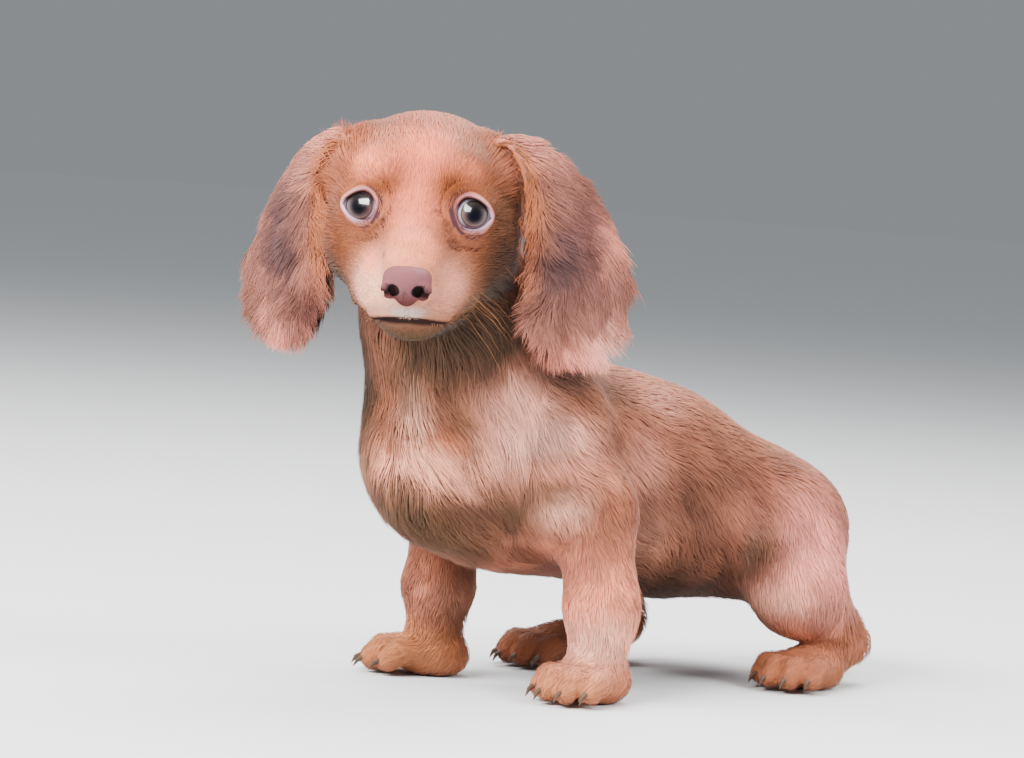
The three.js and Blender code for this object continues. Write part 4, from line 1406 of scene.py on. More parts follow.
def markings_and_painted_light(points: Array, along: Array, share: Array) -> Array:
    """The colour of the coat at places on the skin, with the painted highlights and painted shade of some patches.

    Args:
        points: Places of the anatomy.
        along: Place down an ear, from 0 to 1.
        share: Place across an ear, -1 to 1, or NO_EAR.

    Returns:
        Linear colours, one row for each place.
    """
    colour = np.tile(tone(*RED), (len(points), 1))
    for patch in PATCHES:
        colour = mixed(colour, patch.colour, patch.cover(points)[:, None])
    strip = (1 - smooth_step(-0.8, -0.55, share)) * (1 - smooth_step(0.5, 0.8, along))
    centre = np.exp(-(((along - 0.5) / 0.2) ** 2 + ((share - 0.05) / 0.7) ** 2))
    top = 1 - smooth_step(0.1, 0.45, along)
    end = smooth_step(0.74, 0.95, along)
    ear = np.tile(tone(*EAR_HIDE), (len(points), 1))
    for cover, tint in ((top * 0.9, EAR_TOP), (centre * 0.95, EAR_CENTRE), (end * 0.95, EAR_END), (strip, EAR_STRIP)):
        ear = mixed(ear, tone(*tint), cover[:, None])
    for patch in EAR_PATCHES:
        ear = mixed(ear, patch.colour, patch.cover(points)[:, None])
    return np.where((share < NO_EAR)[:, None], ear, colour)


@dataclass
class Waves:
    """Smooth seeded variation over space."""

    length: float
    seed: int
    count: int = 10

    def at(self, points: Array) -> Array:
        """Values of about -1 to 1 at points."""
        made = np.random.default_rng(self.seed)
        total = np.zeros(len(points))
        for _ in range(self.count):
            way = unit(made.normal(size=3)) * 2 * np.pi / (self.length * made.uniform(0.7, 1.5))
            total += np.sin(points @ way + made.uniform(0, 2 * np.pi))
        return total / math.sqrt(self.count)


# Coat


@dataclass
class EarMap:
    """Finds the place on its leaf of any point on an ear."""

    ear: Ear
    tree: KDTree = None
    along: Array = None
    share: Array = None

    def __post_init__(self) -> None:
        """Spreads places over the leaf."""
        a, s = np.meshgrid(np.linspace(0.01, 0.99, 70), np.linspace(-1, 1, 50))
        self.along, self.share = a.ravel(), s.ravel()
        places = self.ear.leaf(self.along, self.share)[0]
        self.tree = KDTree(len(places))
        for i, place in enumerate(places):
            self.tree.insert(place, i)
        self.tree.balance()

    def find(self, points: Array) -> tuple:
        """Shares along and across the leaf of points on the ear, and how far off it they are."""
        hits = [self.tree.find(p) for p in points]
        index = np.array([h[1] for h in hits], int)
        return self.along[index], self.share[index], np.array([h[2] for h in hits])


EAR_CLEAR = 1.5  # distance from the flesh beyond which skin can be an ear's
EAR_OFF = 7.0  # farthest that an ear's skin is from its leaf
LID_SKIN = 5.0  # how far the skin by the eyes goes from the eyeballs


def on_an_ear(points: Array, anatomy: Anatomy, maps: dict) -> Array:
    """The ear on which each place lies.

    Args:
        points: Places of the anatomy.
        anatomy: The flesh, without ears.
        maps: The leaf of each ear.

    Returns:
        The sign of the ear's side, and 0 away from the ears.
    """
    side = np.sign(HEAD.into(points)[:, 1])
    eyes = from_eyes(points)
    hanging = (anatomy.distance(points, carved=False) > EAR_CLEAR) & (eyes > EYE_RADIUS + LID_SKIN)
    index = np.nonzero(hanging)[0]
    for s in Side:
        own = index[side[index] == s.value]
        if len(own):
            off = maps[s].find(points[own])[2]
            hanging[own[off > EAR_OFF]] = False
    return side * hanging


@dataclass
class Roots:
    """Where hairs leave the skin."""

    places: Array
    outs: Array
    uvs: Array
    parts: Array

    def chosen(self, flags: Array) -> "Roots":
        """Some of the roots."""
        return Roots(self.places[flags], self.outs[flags], self.uvs[flags], self.parts[flags])


@dataclass
class Hairs:
    """Paths of tufts from root to tip, with their widths and colours."""

    paths: Array
    outs: Array
    widths: Array
    colours: Array
    uvs: Array


ROUNDNESS = 0.75  # how much of a tuft's own roundness shows in its shading
LEAST_FACING = 0.25  # how far a shading normal keeps to the front of its face
RIDGE = 0.8  # height of a tuft's ridge as a share of its half width
ROOT_SHADE, TIP_SHADE = 0.68, 0.42  # brightness at the root, and what the tip has more
SPOT = 0.003  # size of a tuft's place on the unwrap
SPOT_STEP = 0.0008
STRAND_PROFILE = {4: (0.75, 1.0, 0.72), 3: (0.8, 1.0)}  # widths before the point, by the number of steps
SIDES_OF_STRAND = ((0, 1), (1, 2), (2, 0))


def paint(mesh: bpy.types.Mesh, colours: Array) -> None:
    """Gives each vertex of a mesh its colour."""
    layer = mesh.color_attributes.new("markings_and_painted_light", "FLOAT_COLOR", "POINT")
    rgba = np.ones((len(colours), 4))
    rgba[:, :3] = colours
    layer.data.foreach_set("color", rgba.ravel())


def strand_faces(rings: int) -> Array:
    """The triangles of one tuft.

    Args:
        rings: How many rings of three vertices it has before the vertex at its tip.

    Returns:
        Indices of vertices, three for each triangle.
    """
    faces = [(0, 1, 2)]
    for k in range(rings - 1):
        for a, b in SIDES_OF_STRAND:
            p, q, r, s = 3 * k + a, 3 * k + b, 3 * k + 3 + a, 3 * k + 3 + b
            faces += [(p, s, q), (p, r, s)]
    last = 3 * (rings - 1)
    return np.array(faces + [(last + b, last + a, 3 * rings) for a, b in SIDES_OF_STRAND])


def strands(hairs: Hairs, name: str, material: bpy.types.Material) -> bpy.types.Object:
    """Makes three-sided tapering tufts along paths, joined in one mesh.

    Args:
        hairs: The paths, widths, colours and places on the unwrap.
        name: The piece's name.
        material: Its finish.

    Returns:
        The piece.
    """
    paths = hairs.paths
    count, steps = paths.shape[:2]
    tangents = unit(np.gradient(paths, axis=1))
    across = unit(np.cross(tangents, hairs.outs))
    ridge = np.cross(across, tangents)
    rings = steps - 1
    per = rings * 3 + 1
    points = np.zeros((count, per, 3))
    shade = np.zeros((count, per))
    for k in range(rings):
        half = (hairs.widths * STRAND_PROFILE[steps][k] / 2)[:, None]
        points[:, 3 * k] = paths[:, k] - across[:, k] * half
        points[:, 3 * k + 1] = paths[:, k] + across[:, k] * half
        points[:, 3 * k + 2] = paths[:, k] + ridge[:, k] * half * RIDGE
        shade[:, 3 * k : 3 * k + 3] = k / rings
    points[:, -1] = paths[:, -1]
    shade[:, -1] = 1.0
    away, middles = (np.repeat(each[:, :rings], 3, axis=1) for each in (hairs.outs, paths))
    normals = unit(away + ROUNDNESS * unit(points[:, : rings * 3] - middles))
    normals = np.concatenate([normals, hairs.outs[:, -1:]], axis=1)
    faces = strand_faces(rings)
    corners = (faces[None] + (np.arange(count) * per)[:, None, None]).reshape(-1)
    mesh = bpy.data.meshes.new(name)
    mesh.vertices.add(count * per)
    mesh.vertices.foreach_set("co", to_metres(points.reshape(-1, 3)).ravel())
    mesh.loops.add(len(corners))
    mesh.loops.foreach_set("vertex_index", corners.astype(np.int32))
    mesh.polygons.add(len(corners) // 3)
    mesh.polygons.foreach_set("loop_start", np.arange(0, len(corners), 3, dtype=np.int32))
    mesh.polygons.foreach_set("use_smooth", np.ones(len(corners) // 3, bool))
    mesh.update(calc_edges=True)
    colours = hairs.colours[:, None] * (ROOT_SHADE + TIP_SHADE * shade[:, :, None])
    paint(mesh, colours.reshape(-1, 3))
    spot = np.array([[0, 0], [1, 0], [0.5, 1]]) * SPOT - SPOT / 2
    ring_of = np.arange(per) // 3
    local = spot[np.arange(per) % 3] * 0.5 + np.array([0.0, SPOT_STEP]) * ring_of[:, None]
    uv = (hairs.uvs[:, None] + local[None]).reshape(-1, 2)[corners]
    mesh.uv_layers.new(name="OFBake").data.foreach_set("uv", uv.ravel())
    mesh.materials.append(material)
    sides = points[:, faces]
    flat = unit(np.cross(sides[:, :, 1] - sides[:, :, 0], sides[:, :, 2] - sides[:, :, 0]))[:, :, None]
    shown = normals[:, faces]
    shown = shown + np.maximum(LEAST_FACING - (shown * flat).sum(-1, keepdims=True), 0) * flat
    mesh.normals_split_custom_set(unit(shown).reshape(-1, 3))
    piece = bpy.data.objects.new(name, mesh)
    bpy.context.scene.collection.objects.link(piece)
    return piece


@dataclass(frozen=True)
class CoatRegion:
    """One stretch of coat."""

    name: str
    slot: str
    count: int
    steps: int  # places along each hair
    width: float
    clump: int  # hairs in a tuft
    pull: float  # how far the tips of a tuft draw together
    wave: float  # how far the hair turns aside
    draped: bool = True  # whether each hair follows the form under it
    lock: int = 60  # hairs in a lock
    lock_pull: float = 0.0


@dataclass(frozen=True)
class Growth:
    """How much hairs differ, each pair as the least and the most share."""

    lengths: tuple = (0.75, 1.2)
    rises: tuple = (0.6, 1.15)
    widths: tuple = (0.75, 1.25)
    broad_turn: float = 0.30  # radians
    fine_turn: float = 0.22
    own_turn: float = 0.12
    bend: float = 0.35
    depth: float = 0.7  # of the root under the skin
    rise_bow: float = 0.8  # how early a hair lifts off the skin, less for earlier
    lock_reach: float = 14.0  # distance over which a lock draws hairs together
    tuft_reach: float = 9.0
    shade: float = 0.09  # how much the brightness varies over the broad waves, the fine ones, and by hair
    mottle: float = 0.05
    own_shade: float = 0.12
    own_tint: float = 0.02


@dataclass(frozen=True)
class EarGrowth(Growth):
    """How hair fans over an ear, in degrees from across it to down it."""

    lengths: tuple = (0.7, 1.2)
    rises: tuple = (0.5, 1.25)
    widths: tuple = (0.7, 1.25)
    broad_turn: float = 0.16
    own_turn: float = 0.10
    bend: float = 0.3
    depth: float = 0.6
    fan: float = 48
    fan_down: float = 22  # added towards the tip
    fan_rim: float = 16  # added at the back margin, near the root
    fan_strip: float = 34  # added where the front margin rolls over, and there by chance once more
    length: float = 21
    past: float = 5  # how far the hair goes past the leaf
    wisps: float = 0.16  # share of the hairs by the back margin that are wisps
    wisp_length: float = 8
    wisp_past: float = 9
    rise: float = 1.7
    strip_rise: float = 1.1
    end_bend: float = 0.7


@dataclass(frozen=True)
class Lies:
    """Directions in which the hair lies, as [forward, left, up], and how they run together."""

    back: tuple = (-1, 0, -0.1)
    flank: tuple = (-0.75, 0, -0.75)
    belly: tuple = (-1, 0, -0.2)
    breast: tuple = (0.1, 0, -1)
    breast_weight: float = 1.6
    neck: tuple = (0.0, 0, -1)
    neck_share: float = 0.7
    neck_zone: tuple = (30, 60)  # forward of the withers, and further back the higher up
    neck_foot: float = 120
    whorl: tuple = (62, 6, 124)  # place on the breast away from which the hair turns
    whorl_reach: float = 26
    whorl_weight: float = 1.3
    foreleg: tuple = (-0.25, 0, -1.0)
    hindleg: tuple = (-0.35, 0, -1.0)
    paw: tuple = (1, 0, -0.35)
    nose: tuple = (44, 0, -22)  # place away from which the hair of the head turns
    face: tuple = (-0.35, 0, 0)
    cheek: tuple = (0, 0, -0.8)
    cheek_down: tuple = (6, 32)
    cheek_back: tuple = (10, -20)
    eye_ahead: float = -4
    eye_reach: float = 15
    eye_weight: float = 1.1
    part_join: float = 5.0


@dataclass(frozen=True)
class Lengths:
    """Lengths of the hair, with what is added or taken away in places."""

    trunk: float = 15
    breast: float = 8
    belly: float = 8
    foreleg: float = 8
    foreleg_feather: float = 17
    hindleg: float = 11
    hindleg_feather: float = 16
    hindleg_low: float = 0.45  # share taken away low on the leg
    tail: float = 20.0
    face: float = 3.2
    skull: float = 4.4
    throat: float = 3
    temple: float = 4.5
    by_eyes: float = 0.45  # share that is left by the eyes
    paw: float = 4.6
    part_join: float = 4.0
    breast_zone: tuple = (30, 60)  # places between which each of these comes in
    foreleg_zone: tuple = (30, 46)
    hindleg_zone: tuple = (34, 52)
    low_zone: tuple = (36, 20)
    skull_zone: tuple = (26, -30)
    throat_zone: tuple = (-40, -56)
    temple_zones: tuple = ((8, -4), (25, 33), (26, 12))  # back, outward and down
    eye_zone: tuple = (2, 12)


@dataclass(frozen=True)
class Rises:
    """Heights of the tips of the hair over the skin, with what is added in places."""

    trunk: float = 1.9
    breast: float = 2.4
    belly: float = 1.5
    foreleg: float = 1.3
    foreleg_feather: float = 4.0
    hindleg: float = 1.6
    hindleg_feather: float = 3.5
    tail: float = 2.6
    face: float = 0.45
    skull: float = 0.8
    temple: float = 4.0
    paw: float = 0.7
    skull_zone: tuple = (20, -30)


@dataclass(frozen=True)
class Bare:
    """Where the skin carries no hair, as distances from its features."""

    sole: float = 1.6
    by_eye: float = 8.0
    ring: float = 9.0
    under: float = 0.4  # depth under the lids' ring
    lower_lid: float = 1.8
    upper_lid: float = 0.5  # more at the upper lid
    socket_edge: float = 1.0
    socket_gap: float = 2.6
    opening: float = 1.5
    nose: tuple = (38, 0, -22)
    nose_radii: tuple = (8, 11, 9.5)
    lips: float = 1.9
    lower_lip: float = 3.8
    lip_drop: float = 0.2


BARE = Bare()


def of_nearest(points: Array, middles: list, ways: list) -> Array:
    """The way that goes with the nearest of some middles, for each point."""
    return np.array(ways)[np.argmin([np.linalg.norm(points - middle, axis=1) for middle in middles], axis=0)]


def along_skin(flow: Array, outs: Array) -> Array:
    """Directions laid along the skin."""
    return unit(flow - outs * (flow * outs).sum(1, keepdims=True))


@dataclass
class Coat:
    """The hair over the skin, in pieces."""

    skin: Skin
    anatomy: Anatomy
    thin: float = 1.0
    lies: Lies = field(default_factory=Lies)
    lengths: Lengths = field(default_factory=Lengths)
    rises: Rises = field(default_factory=Rises)
    growth: Growth = field(default_factory=Growth)
    ear_growth: EarGrowth = field(default_factory=EarGrowth)
    maps: dict = field(default_factory=dict)
    fine: Waves = field(default_factory=lambda: Waves(13.0, 3))
    broad: Waves = field(default_factory=lambda: Waves(42.0, 4))
    shade: Waves = field(default_factory=lambda: Waves(24.0, 8))
    mottle: Waves = field(default_factory=lambda: Waves(8.0, 12))

    def sample(self, count: int, chosen: Array, tris: dict, seed: int) -> Roots:
        """Spreads roots evenly over chosen faces of the skin.

        Args:
            count: How many.
            chosen: Weight of each triangle.
            tris: The triangles of the skin.
            seed: Start of the variation.

        Returns:
            The roots.
        """
        made = np.random.default_rng(seed)
        weight = tris["area"] * chosen
        total = np.cumsum(weight)
        picks = np.searchsorted(total, (np.arange(count) + made.uniform(size=count)) / count * total[-1])
        picks = np.minimum(picks, len(total) - 1)
        a, b = made.uniform(size=count), made.uniform(size=count)
        flip = a + b > 1
        a[flip], b[flip] = 1 - a[flip], 1 - b[flip]
        w = np.stack([1 - a - b, a, b], axis=1)[:, :, None]
        order = made.permutation(count)
        return Roots(
            (tris["places"][picks] * w).sum(1)[order],
            unit((tris["normals"][picks] * w).sum(1))[order],
            (tris["uvs"][picks] * w).sum(1)[order],
            tris["parts"][picks][order],
        )

    def triangles(self) -> dict:
        """The skin's triangles.

        Returns:
            Their places, normals, unwrap, areas, nearest parts and ears, by name.
        """
        mesh = self.skin.piece.data
        mesh.calc_loop_triangles()
        n = len(mesh.loop_triangles)
        verts, loops = np.empty(n * 3, np.int32), np.empty(n * 3, np.int32)
        mesh.loop_triangles.foreach_get("vertices", verts)
        mesh.loop_triangles.foreach_get("loops", loops)
        normals = np.empty(len(mesh.vertices) * 3)
        mesh.vertices.foreach_get("normal", normals)
        uv = np.empty(len(mesh.loops) * 2)
        mesh.uv_layers["OFBake"].data.foreach_get("uv", uv)
        places = corners_of(self.skin.piece)[verts].reshape(n, 3, 3)
        centre = places.mean(1)
        parts = self.anatomy.parts(centre)
        return {
            "places": places,
            "centre": centre,
            "normals": normals.reshape(-1, 3)[verts].reshape(n, 3, 3),
            "uvs": uv.reshape(-1, 2)[loops].reshape(n, 3, 2),
            "area": np.linalg.norm(np.cross(places[:, 1] - places[:, 0], places[:, 2] - places[:, 0]), axis=1) / 2,
            "parts": parts,
            "nearest": parts.argmin(1),
            "ear": on_an_ear(centre, self.anatomy, self.maps),
        }

    def lie(self, points: Array, outs: Array, parts: Array) -> Array:
        """The direction in which hair lies at places on the skin.

        Args:
            points: Places of the anatomy.
            outs: The way out of the skin there.
            parts: Distance to each part there.

        Returns:
            Directions along the skin.
        """
        flows = (
            self.lie_on_trunk(points, outs),
            FLOOR.along(np.tile(self.lies.foreleg, (len(points), 1))),
            FLOOR.along(np.tile(self.lies.hindleg, (len(points), 1))),
            self.lie_on_tail(points),
            self.lie_on_head(points),
            of_nearest(
                points,
                [paw.place.at([0, 0, 8]) for paw in PAWS],
                [paw.place.along(self.lies.paw) for paw in PAWS],
            ),
        )
        weight = np.exp(-(parts - parts.min(1, keepdims=True)) / self.lies.part_join)
        return along_skin(sum(w[:, None] * unit(v) for w, v in zip(weight.T, flows)), outs)

    def lie_on_trunk(self, points: Array, outs: Array) -> Array:
        """The direction of the hair on trunk and neck, away from a whorl on the breast."""
        lies, b, n = self.lies, BODY.into(points), outs @ BODY.axes.T
        up, side, front = np.maximum(n[:, 2], 0), np.abs(n[:, 1]), np.maximum(n[:, 0], 0)
        under = np.maximum(-n[:, 2], 0)
        flow = up[:, None] * lies.back + side[:, None] * lies.flank
        flow = flow + under[:, None] * lies.belly + (front * lies.breast_weight)[:, None] * lies.breast
        neck = smooth_step(*lies.neck_zone, b[:, 0] + (b[:, 2] - lies.neck_foot) / 2)[:, None]
        flow = flow * (1 - lies.neck_share * neck) + neck * lies.neck_share * np.array(lies.neck)
        whorl = b - lies.whorl
        away = unit(whorl) * np.exp(-((np.linalg.norm(whorl, axis=1) / lies.whorl_reach) ** 2))[:, None]
        return BODY.along(flow + away * lies.whorl_weight)

    def lie_on_tail(self, points: Array) -> Array:
        """The direction of the hair on the tail, along its nearest length."""
        lengths = list(zip(TAIL_PATH, TAIL_PATH[1:]))
        middles = [(FLOOR.at(a) + FLOOR.at(c)) / 2 for a, c in lengths]
        return of_nearest(points, middles, [unit(FLOOR.along(np.subtract(c, a))) for a, c in lengths])

    def lie_on_head(self, points: Array) -> Array:
        """The direction of the hair on the head, away from the nose and the eyes."""
        lies, h = self.lies, HEAD.into(points)
        flow = unit(h - lies.nose) + lies.face
        cheek = (smooth_step(*lies.cheek_down, -h[:, 2]) * smooth_step(*lies.cheek_back, h[:, 0]))[:, None]
        flow = flow + cheek * np.array(lies.cheek)
        for s in Side:
            ray = h - [lies.eye_ahead, s.value * EYE_SPACING / 2, 0]
            r = np.linalg.norm(ray, axis=1)
            flow = flow + unit(ray) * (lies.eye_weight * np.exp(-((r / lies.eye_reach) ** 2)))[:, None]
        return HEAD.along(flow)

    def length(self, points: Array, outs: Array, parts: Array) -> tuple:
        """Length of the hair at places, and the height of its tips over the skin.

        Args:
            points: Places of the anatomy.
            outs: The way out of the skin there.
            parts: Distance to each part there.

        Returns:
            The lengths and the heights.
        """
        size, tips = self.lengths, self.rises
        weight = np.exp(-(parts - parts.min(1, keepdims=True)) / size.part_join)
        weight = weight / weight.sum(1, keepdims=True)
        b, h, q = BODY.into(points), HEAD.into(points), FLOOR.into(points)
        belly = np.maximum(-(outs @ BODY.axes.T)[:, 2], 0)
        front = smooth_step(*size.breast_zone, b[:, 0])
        behind = np.maximum(-(outs @ FLOOR.forward), 0)
        hind = size.hindleg + size.hindleg_feather * behind**2 * smooth_step(*size.hindleg_zone, q[:, 2])
        back, outward, down = size.temple_zones
        temple = smooth_step(*outward, np.abs(h[:, 1])) * smooth_step(*back, h[:, 0]) * smooth_step(*down, h[:, 2])
        head = size.face + size.skull * smooth_step(*size.skull_zone, h[:, 0])
        head = head + size.throat * smooth_step(*size.throat_zone, h[:, 2]) + size.temple * temple
        off_eyes = smooth_step(*size.eye_zone, from_eyes(points) - EYE_RADIUS)
        lengths = (
            size.trunk + size.breast * front + size.belly * belly**2,
            size.foreleg + size.foreleg_feather * behind**2 * smooth_step(*size.foreleg_zone, q[:, 2]),
            hind * (1 - size.hindleg_low * smooth_step(*size.low_zone, q[:, 2])),
            np.full(len(points), size.tail),
            head * (size.by_eyes + (1 - size.by_eyes) * off_eyes),
            np.full(len(points), size.paw),
        )
        rises = (
            tips.trunk + tips.breast * front + tips.belly * belly,
            tips.foreleg + tips.foreleg_feather * behind**2,
            tips.hindleg + tips.hindleg_feather * behind**2,
            np.full(len(points), tips.tail),
            tips.face + tips.skull * smooth_step(*tips.skull_zone, h[:, 0]) + tips.temple * temple,
            np.full(len(points), tips.paw),
        )
        return tuple((weight * np.stack(each, axis=1)).sum(1) for each in (lengths, rises))

    def grow(self, roots: Roots, region: CoatRegion, seed: int) -> Hairs:
        """Lets hair grow from roots on the body along its lie.

        Args:
            roots: Where it starts.
            region: The stretch of coat.
            seed: Start of the variation.

        Returns:
            The hairs.
        """
        made, g = np.random.default_rng(seed), self.growth
        count = len(roots.places)
        length, rise = self.length(roots.places, roots.outs, roots.parts)
        length = length * made.uniform(*g.lengths, count)
        rise = rise * made.uniform(*g.rises, count)
        flow = self.lie(roots.places, roots.outs, roots.parts)
        turn = region.wave * (g.broad_turn * self.broad.at(roots.places) + g.fine_turn * self.fine.at(roots.places))
        turn = turn + made.normal(0, g.own_turn, count)
        aside = np.cross(roots.outs, flow)
        flow = flow * np.cos(turn)[:, None] + aside * np.sin(turn)[:, None]
        steps = region.steps
        paths = np.zeros((count, steps, 3))
        outs = np.repeat(roots.outs[:, None], steps, axis=1)
        paths[:, 0] = roots.places - roots.outs * g.depth
        p = roots.places.copy()
        for k in range(1, steps):
            s = k / (steps - 1)
            bend = region.wave * g.bend * self.fine.at(p + 31.0) * s
            way = flow + aside * bend[:, None]
            p = p + unit(way) * (length / (steps - 1))[:, None]
            if region.draped:
                out = self.anatomy.slope(p, carved=False)
                p = p - out * self.anatomy.distance(p, carved=False)[:, None]
                outs[:, k] = out
                flow = along_skin(flow, out)
            else:
                p = p - roots.outs * np.clip(self.face_ground(p), -1.5, 1.5)[:, None]
            paths[:, k] = p + outs[:, k] * (rise * s**g.rise_bow)[:, None]
        own = self.gather_twice(paths, region, made)
        paths[:, :, 2] = np.maximum(paths[:, :, 2], 0.8)
        tint = self.colours(paths[:, 1], np.zeros(count), np.full(count, NO_EAR), made) * own[:, None]
        widths = region.width * made.uniform(*g.widths, count)
        return Hairs(paths, outs, widths, tint, roots.uvs)

    def face_ground(self, points: Array) -> Array:
        """Distance from points to the head with the bulge of its lids."""
        d = self.anatomy.distance(points, carved=False)
        for lids in LIDS.values():
            d = lids.drape(points, d)
        return d

    def gather_twice(self, paths: Array, region: CoatRegion, made) -> Array:
        """Draws hairs into locks and the hairs of a lock into tufts, and gives each hair its lock's brightness."""
        lock = self.gather(paths, region.lock, region.lock_pull, self.growth.lock_reach, made)
        self.gather(paths, region.clump, region.pull, self.growth.tuft_reach, made)
        depth = 0.32 * region.lock_pull + 0.03
        return np.clip(1 + depth * made.normal(size=len(paths))[lock], 0.6, 1.5)

    def gather(self, paths: Array, size: int, strength: float, reach: float, made) -> Array:
        """Draws the tips of neighbouring hairs together.

        Args:
            paths: The hairs, changed in place.
            size: Hairs for each leader, which the others draw near to.
            strength: Share of the way that the tips go.
            reach: Distance over which the pull fades.
            made: Source of the variation.

        Returns:
            The leader of each hair.
        """
        count = len(paths)
        leaders = max(count // size, 1)
        tree = KDTree(leaders)
        for i in range(leaders):
            tree.insert(paths[i, 0], i)
        tree.balance()
        chosen = np.array([tree.find(root)[1] for root in paths[:, 0]], int)
        offset = paths[:, 0] - paths[chosen, 0]
        away = np.linalg.norm(offset, axis=1)
        pull = strength * made.uniform(0.4, 1.2, count) * np.exp(-((away / reach) ** 2))
        lead = paths[chosen].copy()
        for k in range(1, paths.shape[1]):
            s = (k / (paths.shape[1] - 1)) ** 1.3
            paths[:, k] += (lead[:, k] + offset * 0.25 - paths[:, k]) * (pull * s)[:, None]
        return chosen

    def colours(self, places: Array, along: Array, share: Array, made) -> Array:
        """The colour of each hair, with its own variation."""
        tint, g = markings_and_painted_light(places, along, share), self.growth
        change = 1 + g.shade * self.shade.at(places) + g.mottle * self.mottle.at(places)
        change = change + made.normal(0, g.own_shade, len(tint))
        warm = 1 + made.normal(0, g.own_tint, (len(tint), 3))
        return np.clip(tint * np.clip(change, 0.55, 1.5)[:, None] * warm, 0.01, 0.98)

    def grow_ear(self, ear: Ear, roots: Roots, region: CoatRegion, seed: int) -> Hairs:
        """Lets hair grow over an ear, fanning from its front margin to its back margin and tip.

        Args:
            ear: The ear.
            roots: Where the hair starts.
            region: The stretch of coat.
            seed: Start of the variation.

        Returns:
            The hairs.
        """
        made, g = np.random.default_rng(seed), self.ear_growth
        count = len(roots.places)
        along, share, _ = self.maps[ear.side].find(roots.places)
        _, half, tangent, out = ear.leaf(along, share)
        facing = np.sign((roots.outs * out).sum(1) + 1e-6)
        width = np.linalg.norm(half, axis=1)
        strip = 1 - smooth_step(-0.78, -0.5, share)
        rim = smooth_step(0.3, 1.0, share)
        turn = np.radians(g.fan + g.fan_down * along + g.fan_rim * rim * (1 - along) + g.fan_strip * strip)
        turn = turn + g.fine_turn * self.fine.at(roots.places) + g.broad_turn * self.broad.at(roots.places)
        turn = turn + made.normal(0, g.own_turn, count)
        turn = turn + np.radians(g.fan_strip) * strip * made.uniform(size=count)
        middle = np.exp(-(((along - 0.55) / 0.2) ** 2))
        wisp = (made.uniform(size=count) < g.wisps) * smooth_step(0.3, 0.8, share) * middle
        over_side = (1 - share) * width + g.past + g.wisp_past * wisp
        over_end = (1 - along) * EAR_LENGTH + g.past
        length = g.length * made.uniform(*g.lengths, count) * (1 - 0.5 * strip) + g.wisp_length * wisp
        length = np.minimum(length, over_side / np.maximum(np.cos(turn), 0.05))
        length = np.minimum(length, over_end / np.maximum(np.sin(turn), 0.05)) * made.uniform(0.8, 1.1, count)
        length = length * (0.4 + 0.6 * smooth_step(0.0, 0.25, along))
        rise = (g.rise - g.strip_rise * strip) * made.uniform(*g.rises, count)
        curl = g.bend * self.fine.at(roots.places + 17.0)
        curl = curl + g.end_bend * smooth_step(0.75, 1, along) * self.fine.at(roots.places * 1.7)
        steps = region.steps
        paths, outs = np.zeros((count, steps, 3)), np.zeros((count, steps, 3))
        paths[:, 0], outs[:, 0] = roots.places - roots.outs * g.depth, roots.outs
        p = roots.places.copy()
        for k in range(1, steps):
            s = k / (steps - 1)
            sway = turn + curl * s
            way = unit(half) * np.cos(sway)[:, None] + tangent * np.sin(sway)[:, None]
            p = p + unit(way) * (length / (steps - 1))[:, None]
            a, b, off = self.maps[ear.side].find(p)
            place, half, tangent, out = ear.leaf(a, b)
            hide = ear.thickness(a, b) / 2 * np.exp(-np.maximum(off - 3, 0) / 2)
            lift = facing * (hide + rise * s**g.rise_bow)
            p = p + out * (lift - ((p - place) * out).sum(1))[:, None]
            paths[:, k] = p
            outs[:, k] = out * facing[:, None]
        own = self.gather_twice(paths, region, made)
        tint = self.colours(roots.places, along, share, made) * own[:, None]
        return Hairs(paths, outs, region.width * made.uniform(*g.widths, count), tint, roots.uvs)

    def bare(self, points: Array) -> Array:
        """Which places carry no hair: eyes and their rims, the nose, the mouth and the soles.

        Args:
            points: Places of the anatomy.

        Returns:
            One flag for each place.
        """
        free = BARE
        flags = points[:, 2] < free.sole
        for s in Side:
            lids = LIDS[s]
            near = np.nonzero(np.linalg.norm(points - eye_centre(s), axis=1) < EYE_RADIUS + free.by_eye)[0]
            if len(near):
                p = points[near]
                gap, edge = lids.to_rim(p), lids.edge(p)
                under = (gap < free.ring) & (lids.drape(p, self.anatomy.head.distance(p)) < -free.under)
                rim = gap < free.lower_lid + free.upper_lid * lids.upness(p)
                rim |= (edge < free.socket_edge) & (gap < free.socket_gap)
                flags[near] |= rim | (edge < -free.opening) | under
        flags |= np.linalg.norm((HEAD.into(points) - free.nose) / free.nose_radii, axis=1) < 1
        lips = self.anatomy.skull.muzzle.mouth()
        gap, at = to_line(points, lips)
        below = (points - at) @ HEAD.axes[2] < -free.lip_drop
        flags |= (gap < free.lips) | ((gap < free.lower_lip) & below)
        return flags


def new_material(name: str, roughness: float, specular: float, painted: bool = True) -> tuple:
    """Adds a material.

    Args:
        name: Its name.
        roughness: The roughness of its surface.
        specular: The strength of its plain reflection.
        painted: Whether it shows the colours painted on its piece.

    Returns:
        The material, its node tree and its shader.
    """
    made = bpy.data.materials.new(name)
    made.use_nodes = True
    tree, shader = made.node_tree, made.node_tree.nodes["Principled BSDF"]
    if painted:
        colours = tree.nodes.new("ShaderNodeAttribute")
        colours.attribute_name = "markings_and_painted_light"
        tree.links.new(colours.outputs["Color"], shader.inputs["Base Color"])
    shader.inputs["Roughness"].default_value = roughness
    shader.inputs["Specular IOR Level"].default_value = specular
    return made, tree, shader


